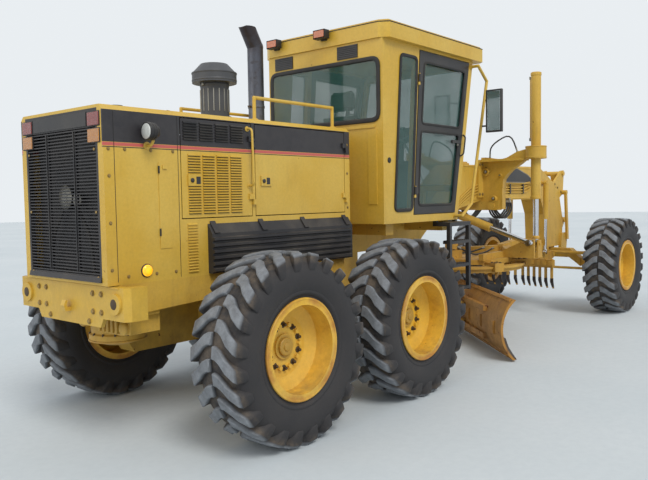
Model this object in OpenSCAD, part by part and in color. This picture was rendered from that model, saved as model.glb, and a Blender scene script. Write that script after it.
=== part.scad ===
// Motor grader with tandem rear wheels, a cab on the front frame and a blade
// under it. Millimetres, real size. +X forward, +Y left, +Z up.
// The origin is on the floor below the middle of the outside box.

/* [Wheels] */
// Radius of a tyre out to its lug tips
tyre_r = 665; // [600:5:720]
// Width of a tyre across its sidewalls
tyre_w = 445; // [380:5:500]
// Outer radius of a rim's flange
rim_r = 352; // [300:2:400]
// Wheel nuts on each rim
nuts = 10; // [6:1:12]
// Lugs on each half of a tyre's tread
lugs = 20; // [14:1:24]
// Height of the lugs over the tread's floor
lug_h = 34; // [20:1:45]

/* [Stance] */
// Front axle to the middle of the tandem
wheelbase = 6098; // [5800:10:6400]
// Front axle ahead of the middle of the outside box
front_axle_x = 3610; // [3500:10:3700]
// Between the two axles of a tandem
tandem_pitch = 1525; // [1450:5:1600]
// Between the middles of the left and right rear tyres
rear_track = 2137; // [2060:5:2240]
// Between the middles of the left and right front tyres
front_track = 2083; // [2000:5:2200]

/* [Hood] */
// Rear face of the grille behind the middle of the tandem
hood_back = 1775; // [1650:5:1900]
// Front end of the hood ahead of the middle of the tandem
hood_front = 695; // [640:5:720]
// Width of the hood
hood_w = 1042; // [960:2:1120]
// Bottom edge of the hood's sides
hood_z0 = 1150; // [1100:5:1200]
// Top of the hood
hood_z1 = 2300; // [2200:5:2400]
// Thickness of the hood's sheet
sheet = 6; // [4:1:10]
// Seam round a door, a lid or a panel that opens
seam = 7; // [6:0.5:12]
// Bottom edge of the engine doors
door_z0 = 1556; // [1500:2:1640]
// Seam between the two doors of a side, behind the tandem's middle
door_split = 500; // [450:5:600]
// Rear seam of the rear doors, behind the tandem's middle
door_back = 1177; // [1100:5:1260]

/* [Cab] */
// Rear wall of the cab ahead of the middle of the tandem
cab_back = 950; // [930:5:1000]
// Length of the cab's floor
cab_len = 1310; // [1200:10:1420]
// Width of the cab
cab_w = 1420; // [1340:5:1500]
// Underside of the cab
cab_z0 = 1440; // [1400:5:1480]
// Underside of the cab's roof
cab_z1 = 3110; // [3000:5:3200]
// Thickness of the roof
roof_t = 160; // [120:5:200]
// Thickness of the cab's walls and posts
wall = 50; // [40:1:60]
// How far the cab's sides lean forward on the way up
cab_lean = 340; // [260:10:400]
// Thickness of the window glass
pane = 6; // [5:1:10]

/* [Front frame] */
// Width of the front frame's beam
beam_w = 305; // [260:5:340]
// Articulation pin ahead of the middle of the tandem
hitch_x = 900; // [860:5:930]
// Top of the front frame at the saddle
beam_z1 = 2080; // [2040:5:2150]
// Underside of the front frame at the saddle
beam_z0 = 1620; // [1580:5:1660]

/* [Blade] */
// Length of the blade
blade_len = 3658; // [3400:10:3960]
// Height of the blade
blade_h = 610; // [560:5:680]
// Radius of the blade's curve
blade_r = 413; // [380:1:460]
// Turn of the blade from square across, right end back
blade_angle = 44; // [0:1:48]
// Bottom edge of the blade over the floor
blade_z = 20; // [5:1:60]
// Middle of the circle behind the front axle
circle_back = 2498; // [2440:5:2540]
// Outer radius of the circle
circle_r = 765; // [720:5:800]

/* [Cylinders] */
// Lift cylinders behind the front axle
lift_back = 2223; // [2180:5:2260]
// Lift cylinders out from the middle
lift_y = 855; // [820:5:900]
// Outer radius of a lift cylinder's barrel
barrel_r = 58; // [50:1:66]
// Radius of a lift cylinder's rod
rod_r = 32; // [26:1:38]
// Top of the lift cylinders' barrels
barrel_z1 = 3136; // [3000:5:3240]

/* [Scarifier] */
// Teeth on the scarifier
teeth = 11; // [7:2:15]
// Tips of its teeth over the floor
teeth_z = 370; // [330:5:420]

/* [Hidden] */
$fn = 48;

// Radial play of a pin in its bore
play = 0.5;
// What lies between a piece and its seat
seat_gap = 0.3;
// Gap between two bodies that move past each other
gap = 6;
// Middle of the tandem along the machine
tm = front_axle_x - wheelbase;
// Height of the axles
axle_z = tyre_r;
// Half widths
hood_y = hood_w / 2;
cab_y = cab_w / 2;
beam_y = beam_w / 2;
rear_y = rear_track / 2;
front_y = front_track / 2;
// Articulation pin, circle, lift cylinders and draft ball along the machine
hinge_x = tm + hitch_x;
circle_x = front_axle_x - circle_back;
lift_x = front_axle_x - lift_back;
ball_x = front_axle_x - 348;
ball_z = axle_z + 315;
ball_r = 75;

// Parts of the rims and hubs
seat_r = rim_r - 36;
bead_in = 44;
lug_turn = 5.6;
lug_back = 13;
hub_r = 60;
tandem_y0 = 600;
tandem_y1 = rear_y - tyre_w / 2 - 42;

YELLOW = [0.80, 0.56, 0.13];
BLACK = [0.08, 0.08, 0.09];
RUBBER = [0.11, 0.11, 0.12];
STEEL = [0.75, 0.76, 0.78];
GLASS = [0.45, 0.60, 0.58, 0.4];
RED = [0.70, 0.12, 0.10];
GREY = [0.25, 0.26, 0.27];

// A box between two corners
module block(a, b) {
    translate(a)
        cube(b - a);
}

// A side view, [x, z], given its width from y0 to y1
module slab_y(pts, y0, y1) {
    translate([0, y1, 0])
        rotate([90, 0, 0])
            linear_extrude(y1 - y0)
                polygon(pts);
}

// A rear view, [y, z], given its length from x0 to x1
module slab_x(pts, x0, x1) {
    translate([x0, 0, 0])
        rotate([90, 0, 90])
            linear_extrude(x1 - x0)
                polygon(pts);
}

// A plan, [x, y], given its height from z0 to z1
module slab_z(pts, z0, z1) {
    translate([0, 0, z0])
        linear_extrude(z1 - z0)
            polygon(pts);
}

module bar_x(x0, x1, y, z, r) {
    translate([x0, y, z])
        rotate([0, 90, 0])
            cylinder(r = r, h = x1 - x0);
}

module bar_y(x, y0, y1, z, r) {
    translate([x, y1, z])
        rotate([90, 0, 0])
            cylinder(r = r, h = y1 - y0);
}

module bar_z(x, y, z0, z1, r) {
    translate([x, y, z0])
        cylinder(r = r, h = z1 - z0);
}

// A round bar between two points
module rod(p, q, r) {
    v = q - p;
    l = norm(v);
    translate(p)
        rotate([0, acos(v[2] / l), atan2(v[1], v[0])])
            cylinder(r = r, h = l);
}

// A bent tube through a list of points
module tube(pts, r) {
    for (i = [0 : len(pts) - 2])
        rod(pts[i], pts[i + 1], r);
    for (i = [1 : 1 : len(pts) - 2])
        translate(pts[i])
            sphere(r = r + 0.7);
}

module flip(side) {
    if (side > 0)
        children();
    else
        mirror([0, 1, 0])
            children();
}

module both() {
    for (side = [-1, 1])
        flip(side)
            children();
}

// Turned to the blade's own frame: x ahead of it, y along it
module in_blade() {
    translate([circle_x, 0, 0])
        rotate([0, 0, -blade_angle])
            children();
}

// Wheels, drawn round the Y axis with the outer side at +Y

// Points on a circle round the Y axis, at the given angles from straight up
function ring(r, y, angles) = [for (t = angles) [r * sin(t), y, r * cos(t)]];

// One face as triangles fanned from its first corner, turned the right way for its side
function fan(side, p) =
    [for (i = [1 : len(p) - 2]) side > 0 ? [p[0], p[i + 1], p[i]] : [p[0], p[i], p[i + 1]]];

// Half a tyre: each lug has a trailing and a leading edge, which run back to the shoulder
function tyre_points(side) =
    let (
        y = tyre_w / 2,
        crown = tyre_r - lug_h,
        pitch = 360 / lugs,
        start = side > 0 ? 0 : pitch / 2,
        edge = [for (i = [0 : lugs - 1]) for (e = [0, lug_turn]) start + i * pitch + e],
        bead = [for (i = [0 : lugs - 1]) start + i * pitch + lug_turn / 2 - lug_back]
    )
    concat(
        ring(crown, side * 10, edge),
        ring(crown, side * (y - 70), [for (t = edge) t - lug_back * 0.7]),
        ring(crown - 95, side * y, [for (t = edge) t - lug_back]),
        ring(tyre_r, side * 10, edge),
        ring(tyre_r - 12, side * (y - 26), [for (t = edge) t - lug_back * 0.85]),
        ring(rim_r + 16, side * (y - bead_in), bead),
        ring(seat_r / cos(pitch / 2), side * (y - bead_in), bead)
    );

function tyre_faces(side) =
    let (n = 2 * lugs, first = side > 0 ? 0 : 6 * n)
    [for (i = [0 : lugs - 1])
        let (
            a = [for (j = [0 : 2]) first + (2 * i + j) % n],
            b = [for (v = a) v + n],
            c = [for (v = b) v + n],
            d = [for (v = c) v + n],
            e = [for (v = d) v + n],
            f = [for (j = [0, 1]) first + 5 * n + (i + j) % lugs],
            g = [for (v = f) v + lugs]
        )
        each concat(
            fan(side, [d[0], d[1], e[1], e[0]]), fan(side, [a[0], a[1], d[1], d[0]]),
            fan(side, [e[0], e[1], c[1], c[0]]), fan(side, [b[1], c[1], e[1], d[1], a[1]]),
            fan(side, [b[0], a[0], d[0], e[0], c[0]]), fan(side, [a[1], a[2], b[2], b[1]]),
            fan(side, [b[1], b[2], c[2], c[1]]), fan(side, [c[0], c[1], f[0]]),
            fan(side, [c[1], c[2], f[1], f[0]]), fan(side, [f[0], f[1], g[1], g[0]])
        )];

// What joins the two halves: the strip along the middle of the tread, and the bore
function tyre_joins() =
    let (n = 2 * lugs, right = 6 * n, bore = 5 * n + lugs)
    [for (i = [0 : lugs - 1])
        let (
            l = [for (j = [0 : 2]) (2 * i + j) % n],
            r = [for (j = [0 : 2]) right + (2 * i + j + n - 1) % n],
            p = [for (j = [0, 1]) bore + (i + j) % lugs],
            q = [for (v = p) v + right]
        )
        each concat(
            fan(1, [r[0], l[1], l[0]]), fan(1, [r[0], r[1], r[2], l[1]]), fan(1, [r[2], l[2], l[1]]),
            fan(1, [p[0], p[1], q[0]]), fan(1, [q[0], p[1], q[1]])
        )];

module tyre_shape() {
    color(RUBBER)
        polyhedron(
            concat(tyre_points(1), tyre_points(-1)),
            concat(tyre_faces(1), tyre_faces(-1), tyre_joins())
        );
}

module rim_shape() {
    half = tyre_w / 2 - bead_in;
    flange_t = 14;
    disc_r = 215;
    nut_ring = 152;
    nut_r = 17;
    color(YELLOW) {
        difference() {
            rotate([90, 0, 180])
                rotate_extrude()
                    polygon([
                        [0, -24], [disc_r, -24], [seat_r - 12, 16],
                        [seat_r - 12, -half - flange_t],
                        [rim_r, -half - flange_t], [rim_r, -half],
                        [seat_r, -half], [seat_r, half], [rim_r, half],
                        [rim_r, half + flange_t],
                        [seat_r - 12, half + flange_t], [seat_r - 12, 40],
                        [disc_r, 0], [0, 0]
                    ]);
            bar_y(0, -60, -6, 0, hub_r + play);
        }
        for (i = [0 : nuts - 1])
            rotate([0, i * 360 / nuts, 0])
                translate([nut_ring, 22, 0])
                    rotate([90, 0, 0])
                        cylinder(r = nut_r, h = 24, $fn = 6);
        bar_y(0, -1, 14, 0, 88);
    }
}

module at_wheel(side, x, y) {
    flip(side)
        translate([x, y, axle_z])
            children();
}

module tyre_right_rear() {
    at_wheel(-1, tm - tandem_pitch / 2, rear_y)
        tyre_shape();
}

module tyre_right_mid() {
    at_wheel(-1, tm + tandem_pitch / 2, rear_y)
        tyre_shape();
}

module tyre_right_front() {
    at_wheel(-1, front_axle_x, front_y)
        tyre_shape();
}

module tyre_left_rear() {
    at_wheel(1, tm - tandem_pitch / 2, rear_y)
        tyre_shape();
}

module tyre_left_mid() {
    at_wheel(1, tm + tandem_pitch / 2, rear_y)
        tyre_shape();
}

module tyre_left_front() {
    at_wheel(1, front_axle_x, front_y)
        tyre_shape();
}

module rim_right_rear() {
    at_wheel(-1, tm - tandem_pitch / 2, rear_y)
        rim_shape();
}

module rim_right_mid() {
    at_wheel(-1, tm + tandem_pitch / 2, rear_y)
        rim_shape();
}

module rim_right_front() {
    at_wheel(-1, front_axle_x, front_y)
        rim_shape();
}

module rim_left_rear() {
    at_wheel(1, tm - tandem_pitch / 2, rear_y)
        rim_shape();
}

module rim_left_mid() {
    at_wheel(1, tm + tandem_pitch / 2, rear_y)
        rim_shape();
}

module rim_left_front() {
    at_wheel(1, front_axle_x, front_y)
        rim_shape();
}

// Rear frame, engine and hood

rail_t = 30;
rail_y = hood_y - rail_t;
rail_z0 = axle_z + 275;
rear_end = tm - 1690;
hitch_z0 = axle_z + 45;
hitch_z1 = hood_z0 - 60;

module rear_frame() {
    rail = [
        [rear_end, rail_z0], [tm - 830, rail_z0 + 43],
        [tm + 560, rail_z0 + 43], [tm + 600, rail_z0 + 90],
        [tm + 600, hood_z0], [rear_end, hood_z0]
    ];
    cross = [-1690, -880, -340, 280, 560];
    color(YELLOW) {
        both()
            slab_y(rail, rail_y, rail_y + rail_t);
        for (x = cross)
            block([tm + x, -rail_y, rail_z0 + 45], [tm + x + 40, rail_y, hood_z0 - 20]);
        // Axle across to the tandem cases, with the final drive in the middle
        bar_y(tm, -tandem_y0, tandem_y0, axle_z, 150);
        slab_y([
            [tm - 330, rail_z0 + 90], [tm - 300, axle_z - 60],
            [tm - 160, axle_z - 200], [tm + 160, axle_z - 200],
            [tm + 300, axle_z - 60], [tm + 310, rail_z0 + 90]
        ], -270, 270);
        // Hitch ears above and below the front frame's tongue
        block([tm + 560, -230, hitch_z0], [tm + 660, 230, hood_z0]);
        for (z = [hitch_z0, hitch_z1])
            slab_z([
                [tm + 600, -230], [hinge_x, -110], [hinge_x + 80, -70],
                [hinge_x + 80, 70], [hinge_x, 110], [tm + 600, 230]
            ], z, z + 60);
        bar_z(hinge_x, 0, hitch_z0 + 10, hitch_z1 + 50, 50);
    }
}

module engine_block() {
    color(GREY) {
        block([tm - 980, -330, hood_z0 - 20], [tm + 250, 330, hood_z0 + 830]);
        // Radiator behind the grille, on the frame's rear cross member
        block([tm - 1688, -440, hood_z0 - 20], [tm - 1600, 440, hood_z1 - 80]);
    }
}

// Outline of the hood seen from behind, drawn in by t
function hood_outline(t) = [
    [-hood_y + t, hood_z0], [-hood_y + t, hood_z1 - 34 - t * 0.4],
    [-hood_y + 34 + t * 0.4, hood_z1 - t], [hood_y - 34 - t * 0.4, hood_z1 - t],
    [hood_y - t, hood_z1 - 34 - t * 0.4], [hood_y - t, hood_z0]
];

door_z1 = hood_z1 - 40;
door_front = hood_front - 70;
grille_y = hood_y - 60;
grille_z1 = hood_z1 - 20;
grille_x = tm - hood_back;

// Hinge of a side door: a bracket with a pin, or the door's eye round it
hinge_out = 12;
hinge_pin = 6;

module hinge_seat(x, y, z) {
    block([x - 4, y - 3, z], [x + 26, y + hinge_out + 9, z + 40]);
    bar_z(x, y + hinge_out, z + 39, z + 84, hinge_pin);
}

module hinge_eye(x, y, z) {
    difference() {
        union() {
            block([x - 40, y - 1, z + 41], [x, y + hinge_out + 4, z + 81]);
            bar_z(x, y + hinge_out, z + 41, z + 81, hinge_pin + 5);
        }
        bar_z(x, y + hinge_out, z, z + 99, hinge_pin + play);
    }
}

module hood() {
    color(YELLOW) {
        difference() {
            slab_x(hood_outline(0), grille_x, tm + hood_front);
            slab_x(concat(hood_outline(sheet), [[0, hood_z0 - 9]]),
                grille_x + 34, tm + hood_front - sheet);
            block([grille_x - 9, -grille_y, hood_z0 + 20],
                [grille_x + 40, grille_y, grille_z1]);
            // Door openings, a pair on each side
            for (x = [[-door_back, -door_split], [-door_split + 30, door_front]])
                block([tm + x[0], -hood_y - 9, door_z0],
                    [tm + x[1], hood_y + 9, door_z1]);
        }
        // Post between the doors, and the doors' hinge pins
        both() {
            block([tm - door_split, hood_y - 30, hood_z0],
                [tm - door_split + 30, hood_y - sheet + 1, hood_z1 - 60]);
            block([tm - door_split, hood_y - 30, door_z0 - 9], [tm - door_split + 30, hood_y, door_z1 + 9]);
            for (x = [-door_split, door_front])
                for (z = [door_z0 + 90, door_z1 - 180])
                    hinge_seat(tm + x, hood_y, z);
        }
        // Rails along the top
        both()
            tube([
                [tm - 393, hood_y - 71, hood_z1 - 4], [tm - 393, hood_y - 71, hood_z1 + 172],
                [tm + 550, hood_y - 71, hood_z1 + 172], [tm + 550, hood_y - 71, hood_z1 - 4]
            ], 14);
    }
}

module grille() {
    slats = 44;
    z0 = hood_z0 + 62;
    z1 = grille_z1 - 118;
    pitch = (z1 - z0) / slats;
    color(BLACK) {
        difference() {
            block([grille_x, -grille_y, hood_z0 + 20], [grille_x + 34, grille_y, grille_z1]);
            block([grille_x - 1, -grille_y + 24, z0], [grille_x + 35, grille_y - 24, z1]);
        }
        for (i = [0 : slats - 1])
            block([grille_x + 2, -grille_y + 20, z0 + (i + 0.3) * pitch],
                [grille_x + 14, grille_y - 20, z0 + (i + 0.7) * pitch]);
        for (y = [-180, 170])
            block([grille_x + 12, y, z0 - 9], [grille_x + 26, y + 10, z1 + 9]);
        // Lip along the foot
        slab_y([
            [grille_x - 14, hood_z0 + 20], [grille_x + 4, hood_z0 + 20], [grille_x + 4, hood_z0 + 58],
            [grille_x - 6, hood_z0 + 52]
        ], -grille_y, grille_y);
    }
}

module bumper() {
    z0 = rail_z0 - 10;
    z1 = hood_z0 - 5;
    half = 678;
    x1 = rear_end;
    hole_y = 560;
    hole_r = 32;
    color(YELLOW) {
        difference() {
            union() {
                slab_z([
                    [x1 - 60, -half + 30], [x1 - 20, -half], [x1 + 100, -half],
                    [x1 + 100, -half + 60], [x1, -half + 80], [x1, half - 80],
                    [x1 + 100, half - 60], [x1 + 100, half], [x1 - 20, half],
                    [x1 - 60, half - 30]
                ], z0, z1);
                slab_x([[-420, z0 + 5], [-380, z0 - 60], [380, z0 - 60], [420, z0 + 5]],
                    x1 - 60, x1 - 30);
                // Round bosses at the holes
                both()
                    bar_x(x1 - 76, x1 - 40, hole_y, (z0 + z1) / 2, hole_r + 36);
            }
            both()
                bar_x(x1 - 99, x1 + 99, hole_y, (z0 + z1) / 2, hole_r);
        }
        // Tow hook in the middle
        slab_y([
            [x1 - 59, z0 + 20], [x1 - 100, z0 + 20], [x1 - 112, z0 + 60], [x1 - 96, z0 + 96],
            [x1 - 84, z0 + 90], [x1 - 92, z0 + 62], [x1 - 84, z0 + 44], [x1 - 59, z0 + 44]
        ], -24, 24);
    }
}

module tail_lamps() {
    color(RED)
        both()
            for (z = [2059, 2164])
                block([grille_x - 10, 355, z], [grille_x, 495, z + 95]);
    // Work lamps on the hood's sides, facing back
    both() {
        bar_x(tm - 1508, tm - 1420, hood_y + 79, 2137, 60);
        bar_y(tm - 1450, hood_y, hood_y + 60, 2110, 16);
    }
}

module air_precleaner() {
    x = tm - 400;
    color(GREY) {
        bar_z(x, 0, hood_z1, hood_z1 + 330, 115);
        bar_z(x, 0, hood_z1 + 20, hood_z1 + 60, 135);
        translate([x, 0, hood_z1 + 330])
            cylinder(r1 = 180, r2 = 180, h = 80);
        translate([x, 0, hood_z1 + 410])
            cylinder(r1 = 180, r2 = 110, h = 74);
    }
}

// Stack with a mitred, bent-back mouth: outline of its outside or its bore
module stack_form(x, y, z0, top, r) {
    bar_z(x, y, z0, top, r);
    translate([x, y, top])
        sphere(r = r + 1.5);
    rod([x, y, top], [x - 110, y, top + 190], r);
}

module exhaust_stack() {
    x = tm + 360;
    y = 300;
    top = 3080;
    color(GREY)
        difference() {
            union() {
                bar_z(x, y, hood_z1, hood_z1 + 30, 110);
                stack_form(x, y, hood_z1 + 10, top, 73);
            }
            stack_form(x, y, top - 300, top, 64);
            block([x - 400, y - 199, top + 165], [x + 200, y + 199, top + 600]);
        }
}

module side_covers() {
    x0 = tm - 950;
    x1 = tm + 660;
    z0 = hood_z0 + 10;
    z1 = door_z0 - 20;
    ribs = 6;
    pitch = (z1 - z0 - 110) / ribs;
    color(BLACK)
        both() {
            slab_x([[hood_y, z0], [hood_y + 50, z0], [hood_y + 50, z1 - 90], [hood_y, z1 - 20]],
                x0, x1);
            for (i = [0 : ribs - 1])
                slab_x([
                    [hood_y + 49, z0 + (i + 0.15) * pitch], [hood_y + 72, z0 + (i + 0.35) * pitch],
                    [hood_y + 72, z0 + (i + 0.75) * pitch], [hood_y + 49, z0 + (i + 0.9) * pitch]
                ], x0, x1 - 30);
            // Straps over the slanted top
            for (x = [x0 + 20, x0 + 500, x0 + 980, x1 - 90])
                slab_x([[hood_y, z1], [hood_y, z1 - 24], [hood_y + 49, z1 - 92], [hood_y + 62, z1 - 84]],
                    x, x + 50);
        }
}

module tandem_cases() {
    reach = tandem_pitch / 2 + 190;
    half = 245;
    color(YELLOW)
        both() {
            slab_y([
                [tm - reach, axle_z - 60], [tm - reach + 120, axle_z - half],
                [tm + reach - 120, axle_z - half], [tm + reach, axle_z - 60],
                [tm + reach, axle_z + 90], [tm + reach - 130, axle_z + half],
                [tm - reach + 130, axle_z + half], [tm - reach, axle_z + 90]
            ], tandem_y0, tandem_y1);
            for (s = [-1, 1]) {
                bar_y(tm + s * tandem_pitch / 2, tandem_y1 - 5, rear_y - 40, axle_z, 165);
                bar_y(tm + s * tandem_pitch / 2, rear_y - 60, rear_y - 12, axle_z, hub_r);
            }
        }
}

// A flat door in the hood's side, between two seams along the machine
module engine_door(side, x0, x1) {
    lap = 12;
    color(YELLOW)
        flip(side) {
            block([x0 + seam, hood_y - sheet, door_z0 + seam], [x1 - seam, hood_y, door_z1 - seam]);
            // Stiffening frame behind the panel
            for (x = [x0 + 40, x1 - 70])
                block([x, hood_y - 26, door_z0 + 40], [x + 30, hood_y - sheet + 1, door_z1 - 40]);
            // Latch
            block([x0 + 60, hood_y - 1, door_z0 + 250], [x0 + 130, hood_y + lap, door_z0 + 290]);
            for (z = [door_z0 + 90, door_z1 - 180])
                hinge_eye(x1, hood_y, z);
        }
}

module engine_door_right_rear() {
    engine_door(-1, tm - door_back, tm - door_split);
}

module engine_door_right_front() {
    engine_door(-1, tm - door_split + 30, tm + door_front);
}

module engine_door_left_rear() {
    engine_door(1, tm - door_back, tm - door_split);
}

module engine_door_left_front() {
    engine_door(1, tm - door_split + 30, tm + door_front);
}

// Front frame and cab

cab_x0 = tm + cab_back;
cab_x1 = cab_x0 + cab_len;
nose_x = front_axle_x;
// Leg of the front frame down to the axle
leg_x0 = nose_x - 300;
leg_x1 = nose_x + 330;
leg_z = axle_z + 235;
// Pivots of the scarifier's arms and of its cylinders
pivot_x = nose_x - 220;
pivot_z = axle_z + 135;
pivot_y = beam_y + 45;
cyl_x = nose_x - 560;
cyl_z = beam_z1 - 230;

// Scarifier cylinders out from the middle, past the arms
cyl_y = pivot_y + 78;

// Where the cab's leaning front is at height z
function lean_x(z) = cab_lean * (z - cab_z0) / (cab_z1 - cab_z0);

bearer_y = cab_y - 90;

module front_frame() {
    side = [
        [hinge_x + 180, cab_z0 - 300], [cab_x1 + 90, cab_z0 - 280],
        [cab_x1 + 490, beam_z0 - 170], [lift_x - 80, beam_z0],
        [nose_x - 470, beam_z0], [leg_x0 - 40, beam_z0 - 220],
        [leg_x0, leg_z], [leg_x1, leg_z], [leg_x1 + 20, leg_z + 420],
        [nose_x + 40, beam_z1 - 240], [nose_x - 520, beam_z1],
        [lift_x - 660, beam_z1 - 20], [cab_x1 + 330, cab_z0 + 160],
        [cab_x1 + 60, cab_z0], [hinge_x + 150, cab_z0]
    ];
    color(YELLOW)
        difference() {
            union() {
                slab_y(side, -beam_y, beam_y);
                // Cross bearers under the cab
                for (x = [cab_x0 + 150, cab_x1 - 160])
                    block([x, -bearer_y, cab_z0 - 110], [x + 120, bearer_y, cab_z0]);
                // Tongue between the hitch ears
                block([hinge_x - 100, -130, hitch_z0 + 60 + gap],
                    [hinge_x + 400, 130, hitch_z1 - gap]);
                block([hinge_x + 180, -130, hitch_z0 + 60 + gap], [hinge_x + 400, 130, cab_z0 - 200]);
                // Housing for the drawbar's ball
                block([ball_x - 40, -120, ball_z - 105], [leg_x0 + 120, 120, leg_z + 60]);
                // Brackets and pins of the scarifier
                block([pivot_x - 50, -beam_y, pivot_z - 45], [pivot_x + 50, beam_y, leg_z + 20]);
                bar_y(pivot_x, -pivot_y - 56, pivot_y + 56, pivot_z, 30);
                // Lift bracket on the nose, with its strut and links, which stay still
                for (y = [-150, 118])
                    slab_y([
                        [nose_x - 20, beam_z1 - 250], [nose_x + 300, beam_z1 - 40], [nose_x + 400, beam_z1 - 30],
                        [nose_x + 360, beam_z1 - 390], [nose_x + 130, beam_z1 - 500], [nose_x - 60, beam_z1 - 400]
                    ], y, y + 32);
                bar_y(nose_x + 350, -170, 170, beam_z1 - 80, 34);
                bar_y(nose_x + 320, -230, 230, beam_z1 - 370, 34);
                rod([nose_x + 350, 0, beam_z1 - 80], [nose_x + 610, 0, beam_z1 - 800], 46);
                bar_y(nose_x + 610, -90, 90, beam_z1 - 800, 40);
                both() {
                    slab_y([
                        [nose_x + 290, beam_z1 - 360], [nose_x + 350, beam_z1 - 360],
                        [nose_x + 420, leg_z + 90], [nose_x + 360, leg_z + 90]
                    ], 195, 225);
                    slab_y([
                        [nose_x + 240, leg_z + 190], [nose_x + 440, leg_z + 190], [nose_x + 400, leg_z - 40],
                        [nose_x + 300, leg_z - 180], [nose_x + 180, leg_z - 140], [nose_x + 200, leg_z + 60]
                    ], beam_y - 1, 195);
                }
                slab_y([
                    [nose_x + 200, leg_z + 190], [nose_x + 640, beam_z1 - 780], [nose_x + 640, beam_z1 - 850],
                    [nose_x + 400, leg_z + 60], [nose_x + 200, leg_z + 60]
                ], -60, 60);
                both()
                    block([cyl_x - 60, beam_y - 1, cyl_z - 50], [cyl_x + 60, beam_y + 60, cyl_z + 50]);
                bar_y(cyl_x, -cyl_y - 24, cyl_y + 24, cyl_z, 22);
            }
            bar_z(hinge_x, 0, hitch_z0, hitch_z1 + 60, 50 + play);
            translate([ball_x, 0, ball_z])
                sphere(r = ball_r + play);
            block([ball_x - 99, -90, ball_z - 90], [ball_x + 5, 90, ball_z + 90]);
        }
}

door_x0 = cab_x0 + 480;
door_x1 = cab_x1 - 70;
cab_door_z0 = cab_z0 + 70;
cab_door_z1 = cab_z1 - 20;

// A leaning four-sided opening in a side wall; rear_lean is the rear edge's
function side_opening(x0, x1, z0, z1, rear_lean) = [
    [x0, z0], [x1 + lean_x(z0), z0],
    [x1 + lean_x(z1), z1], [x0 + rear_lean, z1]
];

// A point on the leaning hinge line of a cab door, t from bottom to top
function door_pin(t) = [
    door_x0 + 130 * t, cab_y + 14, cab_door_z0 + t * (cab_door_z1 - cab_door_z0)
];

module cab_shell() {
    outline = [
        [cab_x0, cab_z0], [cab_x1, cab_z0], [cab_x1 + cab_lean, cab_z1], [cab_x0, cab_z1]
    ];
    inner = [
        [cab_x0 + wall, cab_z0 + wall], [cab_x1 - wall, cab_z0 + wall],
        [cab_x1 + cab_lean - wall, cab_z1 + 1], [cab_x0 + wall, cab_z1 + 1]
    ];
    color(YELLOW) {
        difference() {
            slab_y(outline, -cab_y, cab_y);
            slab_y(inner, -cab_y + wall, cab_y - wall);
            // Door openings and the narrow windows behind them
            slab_y(side_opening(door_x0, door_x1, cab_door_z0, cab_door_z1, 130),
                -cab_y - 9, cab_y + 9);
            slab_y([
                [cab_x0 + 180, cab_z0 + 130], [door_x0 - 40, cab_z0 + 130],
                [door_x0 + 70, cab_z1 - 120], [cab_x0 + 300, cab_z1 - 120]
            ], -cab_y - 9, cab_y + 9);
            // Rear window
            block([cab_x0 - 9, -cab_y + 60, 2400], [cab_x0 + wall + 9, cab_y - 60, 2920]);
            // Windshield, from wall to wall
            block([cab_x1 - 200, -cab_y + 60, cab_z0 + 360], [cab_x1 + cab_lean + 99, cab_y - 60, cab_z1 - 80]);
            block([cab_x1 - 100, -cab_y + 60, cab_z0 + 130], [cab_x1 + 200, -300, cab_z0 + 300]);
            block([cab_x1 - 100, 300, cab_z0 + 130], [cab_x1 + 200, cab_y - 60, cab_z0 + 300]);
        }
        both()
            for (t = [0.12, 0.8]) {
                rod(door_pin(t), door_pin(t + 0.055), 7);
                translate(door_pin(t))
                    block([-26, -14, -24], [4, 8, 0]);
            }
    }
}

module cab_roof() {
    x0 = cab_x0 - 20;
    x1 = cab_x0 + 1792;
    y = cab_y + 60;
    edge = 22;
    color(YELLOW) {
        slab_z([
            [x0, -y + 90], [x0 + 60, -y], [x1 - 40, -y], [x1, -y + 50],
            [x1, y - 50], [x1 - 40, y], [x0 + 60, y], [x0, y - 90]
        ], cab_z1, cab_z1 + roof_t - edge);
        slab_z([
            [x0 + edge, -y + 100], [x0 + 66, -y + edge], [x1 - 46, -y + edge], [x1 - edge, -y + 56],
            [x1 - edge, y - 56], [x1 - 46, y - edge], [x0 + 66, y - edge], [x0 + edge, y - 100]
        ], cab_z1 + roof_t - edge - 1, cab_z1 + roof_t);
    }
}

module cab_glass() {
    color(GLASS) {
        // Rear window, seated on the outside of the rear wall
        block([cab_x0 - pane, -cab_y + 45, 2385], [cab_x0, cab_y - 45, 2935]);
        // Narrow side windows
        both()
            slab_y([
                [cab_x0 + 170, cab_z0 + 120], [door_x0 - 30, cab_z0 + 120],
                [door_x0 + 78, cab_z1 - 110], [cab_x0 + 290, cab_z1 - 110]
            ], cab_y, cab_y + pane);
        // Windshield on the leaning front
        slab_y([
            [cab_x1 + lean_x(cab_z0 + 345), cab_z0 + 345],
            [cab_x1 + lean_x(cab_z0 + 345) + pane, cab_z0 + 345],
            [cab_x1 + lean_x(cab_z1 - 65) + pane, cab_z1 - 65],
            [cab_x1 + lean_x(cab_z1 - 65), cab_z1 - 65]
        ], -cab_y + 45, cab_y - 45);
        both()
            slab_y([
                [cab_x1 + lean_x(cab_z0 + 120), cab_z0 + 120],
                [cab_x1 + lean_x(cab_z0 + 120) + pane, cab_z0 + 120],
                [cab_x1 + lean_x(cab_z0 + 310) + pane, cab_z0 + 310],
                [cab_x1 + lean_x(cab_z0 + 310), cab_z0 + 310]
            ], 290, cab_y - 50);
    }
}

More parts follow.
